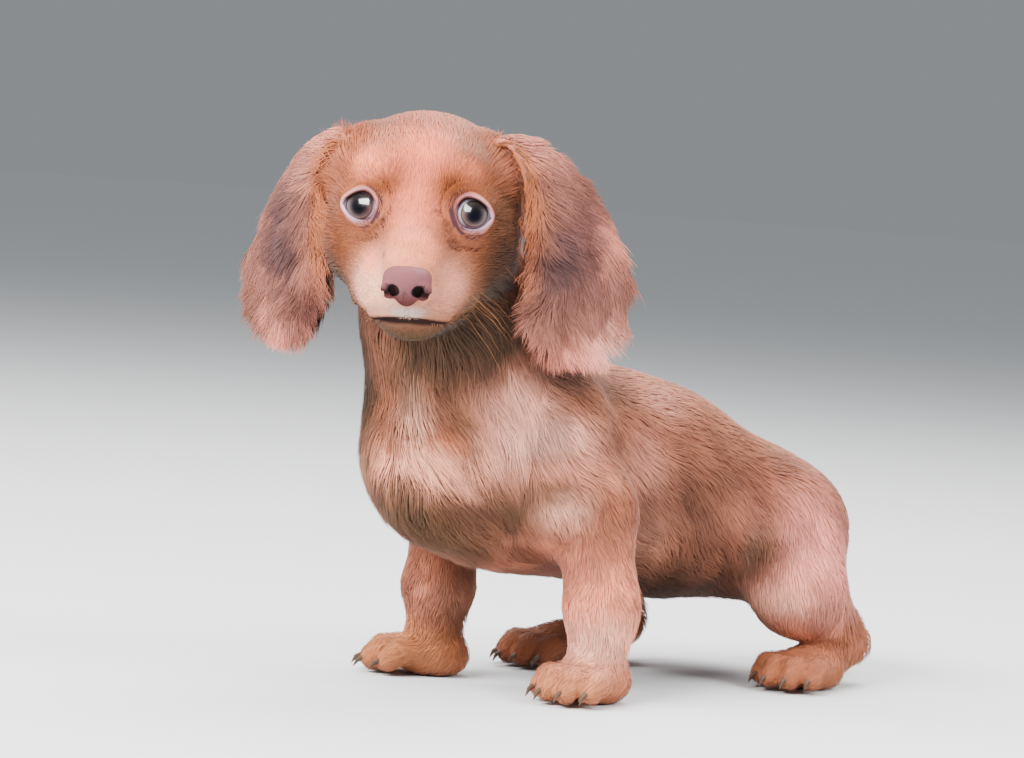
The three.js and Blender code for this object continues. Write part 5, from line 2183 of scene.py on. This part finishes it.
@dataclass(frozen=True)
class Grain:
    """A fine relief over a surface."""

    pattern: str
    output: str
    scale: float
    strength: float
    depth: float  # in metres

    def add(self, tree: bpy.types.NodeTree, shader: bpy.types.Node) -> None:
        """Adds the relief to a shader."""
        where = tree.nodes.new("ShaderNodeTexCoord")
        pattern = tree.nodes.new(self.pattern)
        pattern.inputs["Scale"].default_value = self.scale
        bump = tree.nodes.new("ShaderNodeBump")
        bump.inputs["Strength"].default_value = self.strength
        bump.inputs["Distance"].default_value = self.depth
        tree.links.new(where.outputs["Object"], pattern.inputs["Vector"])
        tree.links.new(pattern.outputs[self.output], bump.inputs["Height"])
        tree.links.new(bump.outputs["Normal"], shader.inputs["Normal"])


@dataclass(frozen=True)
class HairFinish:
    """The look of the tufts."""

    name: str
    roughness: float = 0.5
    specular: float = 0.3
    sheen: float = 0.12

    def material(self) -> bpy.types.Material:
        """Builds the material."""
        made, _, shader = new_material(self.name, self.roughness, self.specular)
        shader.inputs["Sheen Weight"].default_value = self.sheen
        return made


@dataclass(frozen=True)
class GrainedFinish:
    """The look of a painted surface with a grain."""

    name: str
    roughness: float
    specular: float
    grain: Grain

    def material(self) -> bpy.types.Material:
        """Builds the material."""
        made, tree, shader = new_material(self.name, self.roughness, self.specular)
        self.grain.add(tree, shader)
        return made


HIDE_FINISH = GrainedFinish("short_fur_and_hide", 0.75, 0.2, Grain("ShaderNodeTexNoise", "Fac", 900, 0.4, 0.0004))
NOSE_FINISH = GrainedFinish("nose_leather", 0.42, 0.3, Grain("ShaderNodeTexVoronoi", "Distance", 1300, 0.35, 0.0003))


@dataclass(frozen=True)
class EyeFinish:
    """The look of a wet eyeball."""

    name: str
    roughness: float = 0.3
    specular: float = 0.1
    wet_index: float = 1.4
    wet_roughness: float = 0.02

    def material(self) -> bpy.types.Material:
        """Builds the material."""
        made, _, shader = new_material(self.name, self.roughness, self.specular)
        shader.inputs["Coat Weight"].default_value = 1.0
        shader.inputs["Coat IOR"].default_value = self.wet_index
        shader.inputs["Coat Roughness"].default_value = self.wet_roughness
        return made


@dataclass(frozen=True)
class PlainFinish:
    """One colour with a roughness."""

    name: str
    colour: tuple
    roughness: float
    specular: float = 0.4

    def material(self) -> bpy.types.Material:
        """Builds the material."""
        made, _, shader = new_material(self.name, self.roughness, self.specular, painted=False)
        shader.inputs["Base Color"].default_value = self.colour
        return made


@dataclass
class Eye:
    """An eyeball with its iris and pupil, looking at the viewer."""

    side: Side
    gaze: tuple = (0.0, 0.0)  # degrees to the left and down from the viewer
    iris: float = 44.0  # degrees from the middle of the pupil to the iris's edge
    bulge: float = 0.35  # height of the cornea over the ball
    bulge_width: float = 34.0  # degrees
    pupil: tuple = (7, 7, 18)
    rings: tuple = ((14, 6.0, (26, 22, 30)), (23, 5.0, (70, 60, 62)), (31, 4.0, (104, 90, 86)))  # angle, softness, tint
    limbus: tuple = (24, 19, 23)  # the dark line round the iris
    white: tuple = (226, 230, 246)
    shaded_white: tuple = (96, 84, 98)
    streaks: tuple = (23, 41)  # waves round the iris
    streak_depth: float = 0.22
    lid_shade: float = 0.85  # how much the upper lid darkens the ball under it
    lid_shade_width: float = 1.5
    segments: int = 128

    def build(self) -> bpy.types.Object:
        """Models and paints the eyeball.

        Returns:
            The eyeball.
        """
        looking = LIDS[self.side].sight.turned([0, 0, 0], *self.gaze)
        axes = looking.axes
        pole = Frame(looking.origin, axes[2] * -1, axes[1])
        ball = ball_at(eye_centre(self.side), np.full(3, EYE_RADIUS), pole, self.segments)
        ball.name = f"eye_{self.side.label}"
        v = corners_of(ball)
        ray = unit(v - eye_centre(self.side))
        angle = np.degrees(np.arccos(np.clip(ray @ looking.forward, -1, 1)))
        bulge = self.bulge * np.exp(-((angle / self.bulge_width) ** 4))
        move_corners(ball, v + ray * bulge[:, None])
        around = np.arctan2(ray @ axes[1], ray @ axes[2])
        streak = 0.5 + 0.5 * np.sin(around * self.streaks[0]) * np.sin(around * self.streaks[1] + 1.0)
        upness = ray @ axes[2]
        colour = np.tile(tone(*self.pupil), (len(v), 1))
        inner = smooth_step(0.3, 0.75, ray @ axes[1] * -self.side.value)[:, None]
        rings = [(edge, soft, tone(*tint)) for edge, soft, tint in self.rings]
        rings.append((self.iris - 3, 2.5, tone(*self.limbus)))
        rings.append((self.iris + 1.5, 2.0, mixed(tone(*self.shaded_white), tone(*self.white), inner)))
        for edge, soft, tint in rings:
            colour = mixed(colour, tint, smooth_step(edge - soft, edge + soft, angle)[:, None])
        inside = 1 - smooth_step(self.iris, self.iris + 3, angle)
        colour = colour * (1 + inside * self.streak_depth * (streak - 0.5))[:, None]
        shade = smooth_step(-0.05, 0.5, upness) * (0.5 + 0.5 * inside)
        colour = colour * (1 - self.lid_shade * shade)[:, None]
        gap = np.maximum(-LIDS[self.side].edge(v), 0)
        shade = np.exp(-((gap / self.lid_shade_width) ** 2)) * LIDS[self.side].upness(v)
        colour = colour * (1 - self.lid_shade * shade)[:, None]
        paint(ball.data, colour)
        ball.data.materials.append(EyeFinish(f"wet_eye_{self.side.label}").material())
        shade_smooth(ball)
        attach(ball, "root")
        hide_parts(f"eye_{self.side.label}")
        LOG.info("eye %s", self.side.label)
        return ball


@dataclass
class Nose:
    """The leather of the nose with its nostrils."""

    reach: float = 38.0
    up: float = -20.0
    width: float = 20.0
    hole: tuple = ((-2.5, 3.2, -0.4), (8, 5.4, -1.6))  # lines of the left half, from the middle of the nose
    hole_shade: tuple = ((-2.5, 3.2, -0.4), (5.6, 5.0, -1.4))
    slit: tuple = ((6, 5.6, -2.2), (1.0, 10.4, -4.2))
    parting: tuple = ((6.4, 0, -2.0), (4.4, 0, -11))
    parting_shade: tuple = ((6.4, 0, -3.0), (4.4, 0, -11))
    grain: float = 0.0004  # side of a face, in metres
    leather: tuple = (124, 75, 78)
    low_leather: tuple = (84, 36, 34)
    # tints of the painted shade down the parting and in the nostrils and slits
    parting_shade_tint: tuple = (70, 34, 34)
    hole_tint: tuple = (10, 3, 4)

    def line(self, ends: tuple, side: int = 1) -> Array:
        """The ends of a line on one side of the nose, in the common frame."""
        return HEAD.at([[self.reach + ahead, side * aside, self.up + up] for ahead, aside, up in ends])

    def distance(self, points: Array) -> Array:
        """Distance from points to the nose."""
        pad = Egg(HEAD, (self.reach - 1, 0, self.up + 1.5), (7.2, self.width / 2, 6.6), 3)
        tip = Egg(HEAD, (self.reach - 0.3, 0, self.up - 4.2), (5.4, 4.6, 5.6), 5)
        d = blended([pad, tip], points)
        q = HEAD.into(points)
        for s in (1, -1):
            wing = np.linalg.norm((q - [self.reach + 2.0, s * 6.6, self.up - 2.0]) / [4.6, 3.8, 4.0], axis=1)
            d = soft_min(d, (wing - 1) * 3.8, 1.6)
            d = soft_max(d, 2.1 - to_line(points, self.line(self.hole, s))[0], 0.8)
            d = soft_max(d, 0.8 - to_line(points, self.line(self.slit, s))[0], 0.9)
        return soft_max(d, 0.6 - to_line(points, self.line(self.parting))[0], 0.9)

    def slope(self, points: Array) -> Array:
        """The way out of the nose at points."""
        return way_out(self.distance, points, 0.15)

    def build(self) -> bpy.types.Object:
        """Models the nose from a sphere and carves it.

        Returns:
            The nose.
        """
        ball = ball_at(HEAD.at([self.reach - 1, 0, self.up - 2]), np.array([7.5, 10, 9]), HEAD, 24)
        ball.name = "nose"
        apply(ball, "REMESH", mode="VOXEL", voxel_size=self.grain)
        v = corners_of(ball)
        for _ in range(10):
            v = v - self.slope(v) * np.clip(self.distance(v), -1.2, 1.2)[:, None]
        move_corners(ball, v)
        q = HEAD.into(v)
        # painted shade in the nostrils and the slits beside them
        depth = np.zeros(len(v))
        for s in (1, -1):
            hole, slit = to_line(v, self.line(self.hole_shade, s))[0], to_line(v, self.line(self.slit, s))[0]
            depth = np.maximum(depth, 1 - smooth_step(2.2, 3.0, hole))
            depth = np.maximum(depth, 0.8 - 0.8 * smooth_step(0.7, 1.6, slit))
        fade = smooth_step(self.up + 2, self.up - 9, q[:, 2])[:, None]
        colour = mixed(tone(*self.leather), tone(*self.low_leather), fade)
        # painted shade down the parting
        painted_seam_shade = (1 - smooth_step(0.3, 1.1, to_line(v, self.line(self.parting_shade))[0]))[:, None] * 0.6
        colour = mixed(colour, tone(*self.parting_shade_tint), painted_seam_shade)
        colour = mixed(colour, tone(*self.hole_tint), depth[:, None])
        paint(ball.data, colour)
        ball.data.materials.append(NOSE_FINISH.material())
        shade_smooth(ball)
        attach(ball, "root")
        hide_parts("nose")
        LOG.info("nose")
        return ball


@dataclass
class Claws:
    """The claws of one paw."""

    paw: Paw
    length: float = 7.0
    root: float = 1.5  # radius
    bent: float = 0.72  # radius at the bend, as a share of the root's
    tip: float = 0.25
    sides: int = 10
    line: tuple = ((0, 1.05, 7.0), (0.55, 1.1, 5.6), (0.85, 1.12, 2.2))  # share of the length, spread, height
    grain: float = 0.0004  # side of a face, in metres
    horn: tuple = (0.10, 0.06, 0.04, 1)

    def build(self) -> bpy.types.Object:
        """Models a curved cone for each toe.

        Returns:
            The claws in one piece.
        """
        made, bend = [], self.root * self.bent
        for left, reach, _ in self.paw.toes:
            a, b, c = (
                self.paw.place.at([reach + 3 + self.length * share, left * spread, up])
                for share, spread, up in self.line
            )
            made.append(cone_between(a, b, self.root, bend, self.sides))
            made.append(cone_between(b, c, bend, self.tip, self.sides))
            made.append(ball_at(b, np.full(3, bend), FLOOR, self.sides))
        piece = joined(made, f"claws_{self.paw.label}")
        apply(piece, "REMESH", mode="VOXEL", voxel_size=self.grain)
        apply(piece, "SMOOTH", factor=0.5, iterations=6)
        shade_smooth(piece)
        piece.data.materials.append(PlainFinish(f"horn_{self.paw.label}", self.horn, 0.5).material())
        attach(piece, "root")
        return piece


@dataclass
class Whiskers:
    """Long stiff hairs on the lips, brows and chin."""

    seed: int = 21
    width: float = 0.14
    steps: int = 4
    droop: float = 0.5
    longest: tuple = ((1, 34.0), (-1, 14.0))  # on the left and on the right
    rows: tuple = ((-25, 2), (-29, 3), (-33, 3))  # height and number of each row on the lips
    chin: int = 9
    tint: tuple = (150, 98, 56)

    def build(self) -> bpy.types.Object:
        """Models each whisker along a drooping path.

        Returns:
            The whiskers in one piece.
        """
        made = np.random.default_rng(self.seed)
        starts, ways, lengths = [], [], []
        for side, longest in self.longest:
            for row, (u, n) in enumerate(self.rows):
                for i in range(n):
                    starts.append([22 - 4.5 * i - row, side * (15 + 2.4 * i), u - 0.5 * i])
                    ways.append([0.1 - 0.2 * i, side * 1.0, -0.2 - 0.16 * row])
                    lengths.append(longest * made.uniform(0.6, 1.0))
            starts.append([5, side * 19, 13])
            ways.append([0.8, side * 0.45, 0.9])
            lengths.append(9)
            starts.append([-2, side * 31, -22])
            ways.append([0.1, side, -0.5])
            lengths.append(longest * 0.6)
        for i in range(self.chin):
            starts.append([24 - 2 * i, 9 * made.uniform(-1, 1), -52])
            ways.append([0.35, 0.3 * made.uniform(-1, 1), -1])
            lengths.append(4 + 6 * made.uniform())
        roots, way = HEAD.at(np.array(starts, float)), unit(HEAD.along(np.array(ways, float)))
        way = unit(way + made.normal(0, 0.10, way.shape))
        length, down = np.array(lengths)[:, None], FLOOR.along([0, 0, -1])
        shares = [k / (self.steps - 1) for k in range(self.steps)]
        paths = np.stack([roots + way * length * s + down * length * self.droop * s**2 for s in shares], axis=1)
        outs = np.tile(unit(HEAD.along([0.5, 0, 1.0])), (len(roots), self.steps, 1))
        tint = np.tile(tone(*self.tint), (len(roots), 1))
        uvs = made.uniform(0.05, 0.95, (len(roots), 2))
        hairs = Hairs(paths, outs, np.full(len(roots), self.width), tint, uvs)
        piece = strands(hairs, "whiskers", HairFinish("whisker_hair", 0.4, 0.4, 0.0).material())
        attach(piece, "root")
        LOG.info("whiskers: %d", len(roots))
        return piece


REGIONS = (
    CoatRegion("coat_face", "coat", 19000, 3, 0.3, 7, 0.15, 0.3, False, 50, 0.1),
    CoatRegion("coat_skull", "coat", 14000, 3, 0.4, 9, 0.2, 0.4, False, 60, 0.15),
    CoatRegion("coat_chest", "coat", 19000, 3, 0.48, 12, 0.3, 0.8, True, 75, 0.5),
    CoatRegion("coat_back", "coat", 19500, 3, 0.52, 12, 0.22, 0.5, True, 90, 0.22),
    CoatRegion("coat_belly", "coat", 7000, 3, 0.6, 12, 0.3, 0.8, True, 60, 0.45),
    CoatRegion("coat_forelegs", "coat", 14000, 3, 0.42, 11, 0.25, 0.6, True, 70, 0.4),
    CoatRegion("coat_hindlegs", "coat", 14000, 3, 0.46, 11, 0.25, 0.5, True, 80, 0.3),
    CoatRegion("coat_paws", "coat", 8500, 3, 0.38, 8, 0.2, 0.3, False, 40, 0.15),
    CoatRegion("coat_tail", "coat", 2500, 3, 0.6, 12, 0.3, 0.9, True, 50, 0.4),
)
EAR_REGION = CoatRegion("coat_ear", "ear_coat", 9800, 4, 0.4, 11, 0.3, 1.0, True, 70, 0.35)


CHEST_FRONT = 22.0  # forward of this the trunk's coat is the chest's
BELLY_DOWN = -0.35  # slope below which it is the belly's
FACE_FRONT = -10.0  # forward of this the head's coat is the face's
INNER_EAR = 0.6  # how dense the hair of an ear's inner face is
EAR_OUTWARD = (0.8, 0.6, 0)
SEEDS = (100, 200, 300, 400)  # roots and hairs of the regions, roots and hairs of the ears


def region_flags(tris: dict) -> dict:
    """Which triangles of the skin each stretch of coat covers.

    Args:
        tris: The triangles of the skin.

    Returns:
        Flags for the triangles, by the stretch's name.
    """
    nearest, centre, ear = tris["nearest"], tris["centre"], tris["ear"] != 0
    b, h = BODY.into(centre), HEAD.into(centre)
    normal = unit(tris["normals"].mean(1)) @ BODY.axes.T
    trunk = (nearest == Part.TRUNK.value) & ~ear
    head = (nearest == Part.HEAD.value) & ~ear
    chest = trunk & (b[:, 0] > CHEST_FRONT)
    belly = trunk & ~chest & (normal[:, 2] < BELLY_DOWN)
    return {
        "coat_face": head & (h[:, 0] > FACE_FRONT),
        "coat_skull": head & (h[:, 0] <= FACE_FRONT),
        "coat_chest": chest,
        "coat_back": trunk & ~chest & ~belly,
        "coat_belly": belly,
        "coat_forelegs": (nearest == Part.FORELEGS.value) & ~ear,
        "coat_hindlegs": (nearest == Part.HINDLEGS.value) & ~ear,
        "coat_paws": (nearest == Part.PAWS.value) & ~ear,
        "coat_tail": (nearest == Part.TAIL.value) & ~ear,
    }


def dress_coat(skin: Skin, anatomy: Anatomy) -> None:
    """Grows all the pieces of the coat and paints the skin under them.

    Args:
        skin: The finished skin.
        anatomy: The flesh under it.
    """
    coat = Coat(skin, anatomy, 1.0)
    coat.maps = {ear.side: EarMap(ear) for ear in EARS}
    tris = coat.triangles()
    flags = region_flags(tris)
    hair = HairFinish("coat_hair").material()
    ear_hair = HairFinish("ear_hair").material()
    for seed, region in enumerate(REGIONS):
        roots = coat.sample(int(region.count * coat.thin), flags[region.name].astype(float), tris, SEEDS[0] + seed)
        roots = roots.chosen(~coat.bare(roots.places))
        piece = strands(coat.grow(roots, region, SEEDS[1] + seed), region.name, hair)
        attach(piece, "root")
        LOG.info("%s: %d tufts", region.name, len(roots.places))
    for seed, ear in enumerate(EARS):
        near = tris["ear"] == ear.side.value
        outward = unit(tris["normals"].mean(1)) @ HEAD.along(np.array(EAR_OUTWARD) * [1, ear.side.value, 1])
        weight = near * np.where(outward > 0, 1.0, INNER_EAR)
        roots = coat.sample(int(EAR_REGION.count * coat.thin), weight, tris, SEEDS[2] + seed)
        name = f"{EAR_REGION.name}_{ear.side.label}"
        piece = strands(coat.grow_ear(ear, roots, EAR_REGION, SEEDS[3] + seed), name, ear_hair)
        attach(piece, "root")
        LOG.info("%s: %d tufts", name, len(roots.places))
    paint_skin(skin, anatomy, coat)


# the upper lid's rows: the dark ones by the eyeball are partly lashes and partly painted shade under the lid
UPPER_LID_AND_SHADE = ((40, 20, 20), (40, 20, 20), (34, 16, 16), (40, 20, 20), (120, 72, 66), (196, 132, 134), (186, 112, 100))
LOWER_LID = (
    (100, 76, 86), (100, 76, 86), (104, 78, 90), (186, 152, 172), (206, 166, 186), (186, 132, 140), (150, 88, 74),
)
SOCKET_SHADE_TINT = (74, 46, 50)  # skin under the lids and round them
LIP_AND_SHADE_TINT = (44, 24, 20)
GROOVE_SHADE_TINT = (92, 62, 56)
SOLE_TINT = (96, 62, 54)
HIDE_SHADE = 0.9  # brightness of the skin under the tufts


def lid_colours(places: Array, coat_colour: Array) -> Array:
    """The colours of the lids: at the upper edge a dark line, partly lashes and partly painted shade, then pale; pale
    pink at the lower one.

    Args:
        places: Places of the rings, first the left one's, by direction and step.
        coat_colour: The colour of the coat there.

    Returns:
        Linear colours, one row for each place.
    """
    per = len(places) // len(Side)
    made = coat_colour.copy()
    for n, side in enumerate(Side):
        lids = LIDS[side]
        part = slice(n * per, (n + 1) * per)
        step = np.arange(per) % (per // lids.segments)
        above, below = coat_colour[part].copy(), coat_colour[part].copy()
        for k, (upper, lower) in enumerate(zip(UPPER_LID_AND_SHADE, LOWER_LID)):
            above[step == k], below[step == k] = tone(*upper), tone(*lower)
        made[part] = mixed(below, above, lids.upness(places[part])[:, None])
    return made


def paint_skin(skin: Skin, anatomy: Anatomy, coat: Coat) -> None:
    """Gives the skin the coat's colours with their painted light and shade, pale rims to the lids with painted shade at
    the upper edge, dark lips with painted shade under the upper lip, and painted shade in the sockets and down the
    groove.

    Args:
        skin: The skin.
        anatomy: The flesh under it.
        coat: The coat, for the places on the ears.
    """
    places = corners_of(skin.piece)
    along, share = np.zeros(len(places)), np.full(len(places), NO_EAR)
    side = on_an_ear(places, anatomy, coat.maps)
    for ear in EARS:
        own = np.nonzero(side == ear.side.value)[0]
        along[own], share[own] = coat.maps[ear.side].find(places[own])[:2]
    colour = markings_and_painted_light(places, along, share) * HIDE_SHADE
    for lids in LIDS.values():
        near = np.nonzero(np.linalg.norm(places - eye_centre(lids.side), axis=1) < EYE_RADIUS + LID_SKIN)[0]
        hidden = near[lids.edge(places[near]) < 1.2]
        # painted shade: the skin at the eye's opening, under the lids, is dark
        colour[hidden] = tone(*SOCKET_SHADE_TINT)
    if skin.lid_corners:
        ring = slice(len(places) - skin.lid_corners, len(places))
        colour[ring] = lid_colours(places[ring], colour[ring])
    # dark lips along the mouth, and painted shade under the upper lip, wider below the line
    gap, at = to_line(places, anatomy.skull.muzzle.mouth())
    below = smooth_step(0.6, -0.4, (places - at) @ HEAD.axes[2])
    lip_and_shade = (1 - smooth_step(1.7 + 1.2 * below, 2.8 + 2.0 * below, gap))[:, None]
    colour = mixed(colour, tone(*LIP_AND_SHADE_TINT), lip_and_shade)
    # painted shade down the groove of the upper lip
    gap = to_line(places, anatomy.skull.muzzle.groove())[0]
    parting = (1 - smooth_step(0.5, 1.6, gap))[:, None] * 0.6
    colour = mixed(colour, tone(*GROOVE_SHADE_TINT), parting)
    sole = (places[:, 2] < 2.0)[:, None]
    colour = np.where(sole, tone(*SOLE_TINT), colour)
    paint(skin.piece.data, colour)
    skin.piece.data.materials.append(HIDE_FINISH.material())


@dataclass(frozen=True)
class SoftLamp:
    """A rectangular lamp aimed at a place."""

    name: str
    size: float
    depth: float
    power: float

    def build(self, place: Vector, target: Vector) -> bpy.types.Object:
        """Adds the lamp.

        Args:
            place: Where it stands, in metres.
            target: Where it is aimed.

        Returns:
            The lamp.
        """
        lamp = bpy.data.lights.new(self.name, "AREA")
        lamp.shape = "RECTANGLE"
        lamp.size, lamp.size_y, lamp.energy = self.size, self.depth, self.power
        made = bpy.data.objects.new(self.name, lamp)
        made.location = place
        made.rotation_euler = (target - place).to_track_quat("-Z", "Y").to_euler()
        bpy.context.scene.collection.objects.link(made)
        return made


@dataclass
class Studio:
    """The plain floor, the soft lights and the camera."""

    distance: float = 1600.0
    azimuth: float = 43.0
    elevation: float = 3.0
    target: tuple = (0.0, 0.0, 135.0)
    focal_pixels: float = 3680.0
    picture_width: int = 1024
    sensor: float = 36.0
    floor_size: float = 60.0
    floor_tint: tuple = (0.72, 0.72, 0.72, 1)
    sky_tint: tuple = (0.88, 0.94, 1.0, 1)
    sky: tuple = (0.42, 0.295)  # strength for light, and as the camera sees it
    mirrored_sky: tuple = (1.0, 0.3)  # share for light, and as reflections show it
    lit: tuple = (0, -0.05, 0.14)  # place at which the lamps are aimed, in metres
    lamps: tuple = (
        (SoftLamp("soft_key", 1.7, 0.9, 140), (-0.16, -1.51, 1.4)),
        (SoftLamp("soft_top", 1.6, 1.6, 66), (-0.1, 0.6, 1.8)),
        (SoftLamp("soft_side", 0.9, 0.9, 42), (1.45, 0.45, 1.25)),
    )
    mirrored_lamp: str = "soft_top"
    catchlight: tuple = (0.23, 26)  # depth in metres, and power
    catchlight_distance: float = 330.0
    catchlight_aims: tuple = ((Side.LEFT, 0.8, -76.0, 18.5), (Side.RIGHT, 0.5, 32.0, 22.5))  # width, turn, lift

    def camera(self) -> bpy.types.Object:
        """Sets the camera where the photograph was taken, tilted as the ground of the photograph is.

        Returns:
            The camera.
        """
        a, e = math.radians(self.azimuth), math.radians(self.elevation)
        aim = np.array(self.target)
        eye = aim + self.distance * np.array([math.sin(a) * math.cos(e), -math.cos(a) * math.cos(e), math.sin(e)])
        eye, aim, up = (turned_about(v, LEAN_AXIS, LEAN) for v in (eye, aim, np.array([0.0, 0, 1])))
        away = unit(eye - aim)
        right = unit(np.cross(up, away))
        turn = Matrix(np.stack([right, np.cross(away, right), away], axis=1).tolist())
        lens = bpy.data.cameras.new("view_of_the_photograph")
        lens.sensor_width = self.sensor
        lens.lens = self.focal_pixels / self.picture_width * self.sensor
        lens.clip_end = 100
        made = bpy.data.objects.new("view_of_the_photograph", lens)
        made.matrix_world = Matrix.Translation(Vector(to_metres(eye))) @ turn.to_4x4()
        bpy.context.scene.collection.objects.link(made)
        bpy.context.scene.camera = made
        return made

    def floor(self) -> None:
        """Adds the pale floor."""
        deselect()
        bpy.ops.mesh.primitive_plane_add(size=self.floor_size, location=(0, 0, 0))
        ground = bpy.context.object
        ground.name = "floor"
        ground.data.materials.append(PlainFinish("pale_floor", self.floor_tint, 0.9, 0.0).material())
        ground.visible_glossy = False
        ground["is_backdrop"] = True

    def lights(self) -> None:
        """Adds soft lights and a pale sky."""
        sky = bpy.data.worlds.new("pale_sky")
        sky.use_nodes = True
        tree = sky.node_tree
        shown = tree.nodes["Background"]
        shown.inputs["Color"].default_value = self.sky_tint
        path = tree.nodes.new("ShaderNodeLightPath")
        both = tree.nodes.new("ShaderNodeMath")
        both.operation = "MULTIPLY"
        for slot, ray, (full, part) in ((0, "Is Camera Ray", self.sky), (1, "Is Glossy Ray", self.mirrored_sky)):
            node = tree.nodes.new("ShaderNodeMapRange")
            node.inputs["To Min"].default_value = full
            node.inputs["To Max"].default_value = part
            tree.links.new(path.outputs[ray], node.inputs["Value"])
            tree.links.new(node.outputs["Result"], both.inputs[slot])
        tree.links.new(both.outputs["Value"], shown.inputs["Strength"])
        bpy.context.scene.world = sky
        for lamp, place in self.lamps:
            made = lamp.build(Vector(place), Vector(self.lit))
            made.visible_glossy = lamp.name == self.mirrored_lamp

    def catchlights(self, eyes: list) -> None:
        """Adds for each eye a small soft lamp that only the eyes see, for the light in them.

        Args:
            eyes: The left eyeball and the right one.
        """
        for eye, (side, width, turn, lift) in zip(eyes, self.catchlight_aims):
            only = bpy.data.collections.new(f"lit_{eye.name}")
            only.objects.link(eye)
            sight = LIDS[side].sight.turned([0, 0, 0], turn, -lift)
            place = Vector(to_metres(sight.at([self.catchlight_distance, 0, 0])))
            lamp = SoftLamp(f"catchlight_{side.label}", width, *self.catchlight)
            made = lamp.build(place, Vector(to_metres(eye_centre(side))))
            made.visible_camera = False
            made.visible_diffuse = False
            made.light_linking.receiver_collection = only

    def build(self) -> None:
        """Builds the studio."""
        self.floor()
        self.lights()
        self.camera()
        LOG.info("studio")


PAIRED_NODES = ("ear", "forepaw", "foreleg", "hindpaw", "hindleg")
FLESH_NODES = ("head", "torso", "neck", *(f"{part}_{side.label}" for part in PAIRED_NODES for side in Side), "tail")
GAZES = {Side.LEFT: (0.0, 10.9), Side.RIGHT: (-2.6, 8.2)}
NOTED = 0.5  # millimetres past the solids from which a piece's reach is logged


def main() -> None:
    """Builds the studio, the skin, the coat and the small pieces, in order."""
    logging.basicConfig(level=logging.INFO, format="%(name)s: %(message)s")
    studio = Studio()
    studio.build()
    anatomy = Anatomy()
    skin = Skin(anatomy)
    skin.build()
    skin.unwrap()
    LOG.info("skin: %d faces", len(skin.piece.data.polygons))
    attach(skin.piece, "root")
    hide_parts(*FLESH_NODES)
    dress_coat(skin, anatomy)
    eyes = [Eye(side, gaze).build() for side, gaze in GAZES.items()]
    studio.catchlights(eyes)
    Nose().build()
    for paw in PAWS:
        Claws(paw).build()
    Whiskers().build()
    low, high = (np.array(corner) * MM for corner in BOUNDS_OF_SOLIDS)
    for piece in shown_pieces():
        v = np.array([piece.matrix_world @ Vector(c) for c in piece.bound_box]) * MM
        past = np.maximum(low - v.min(0), v.max(0) - high).round(1)
        LOG.info("%s goes past the solids by %s", piece.name, past[past > NOTED])


if __name__ == "__main__":
    main()
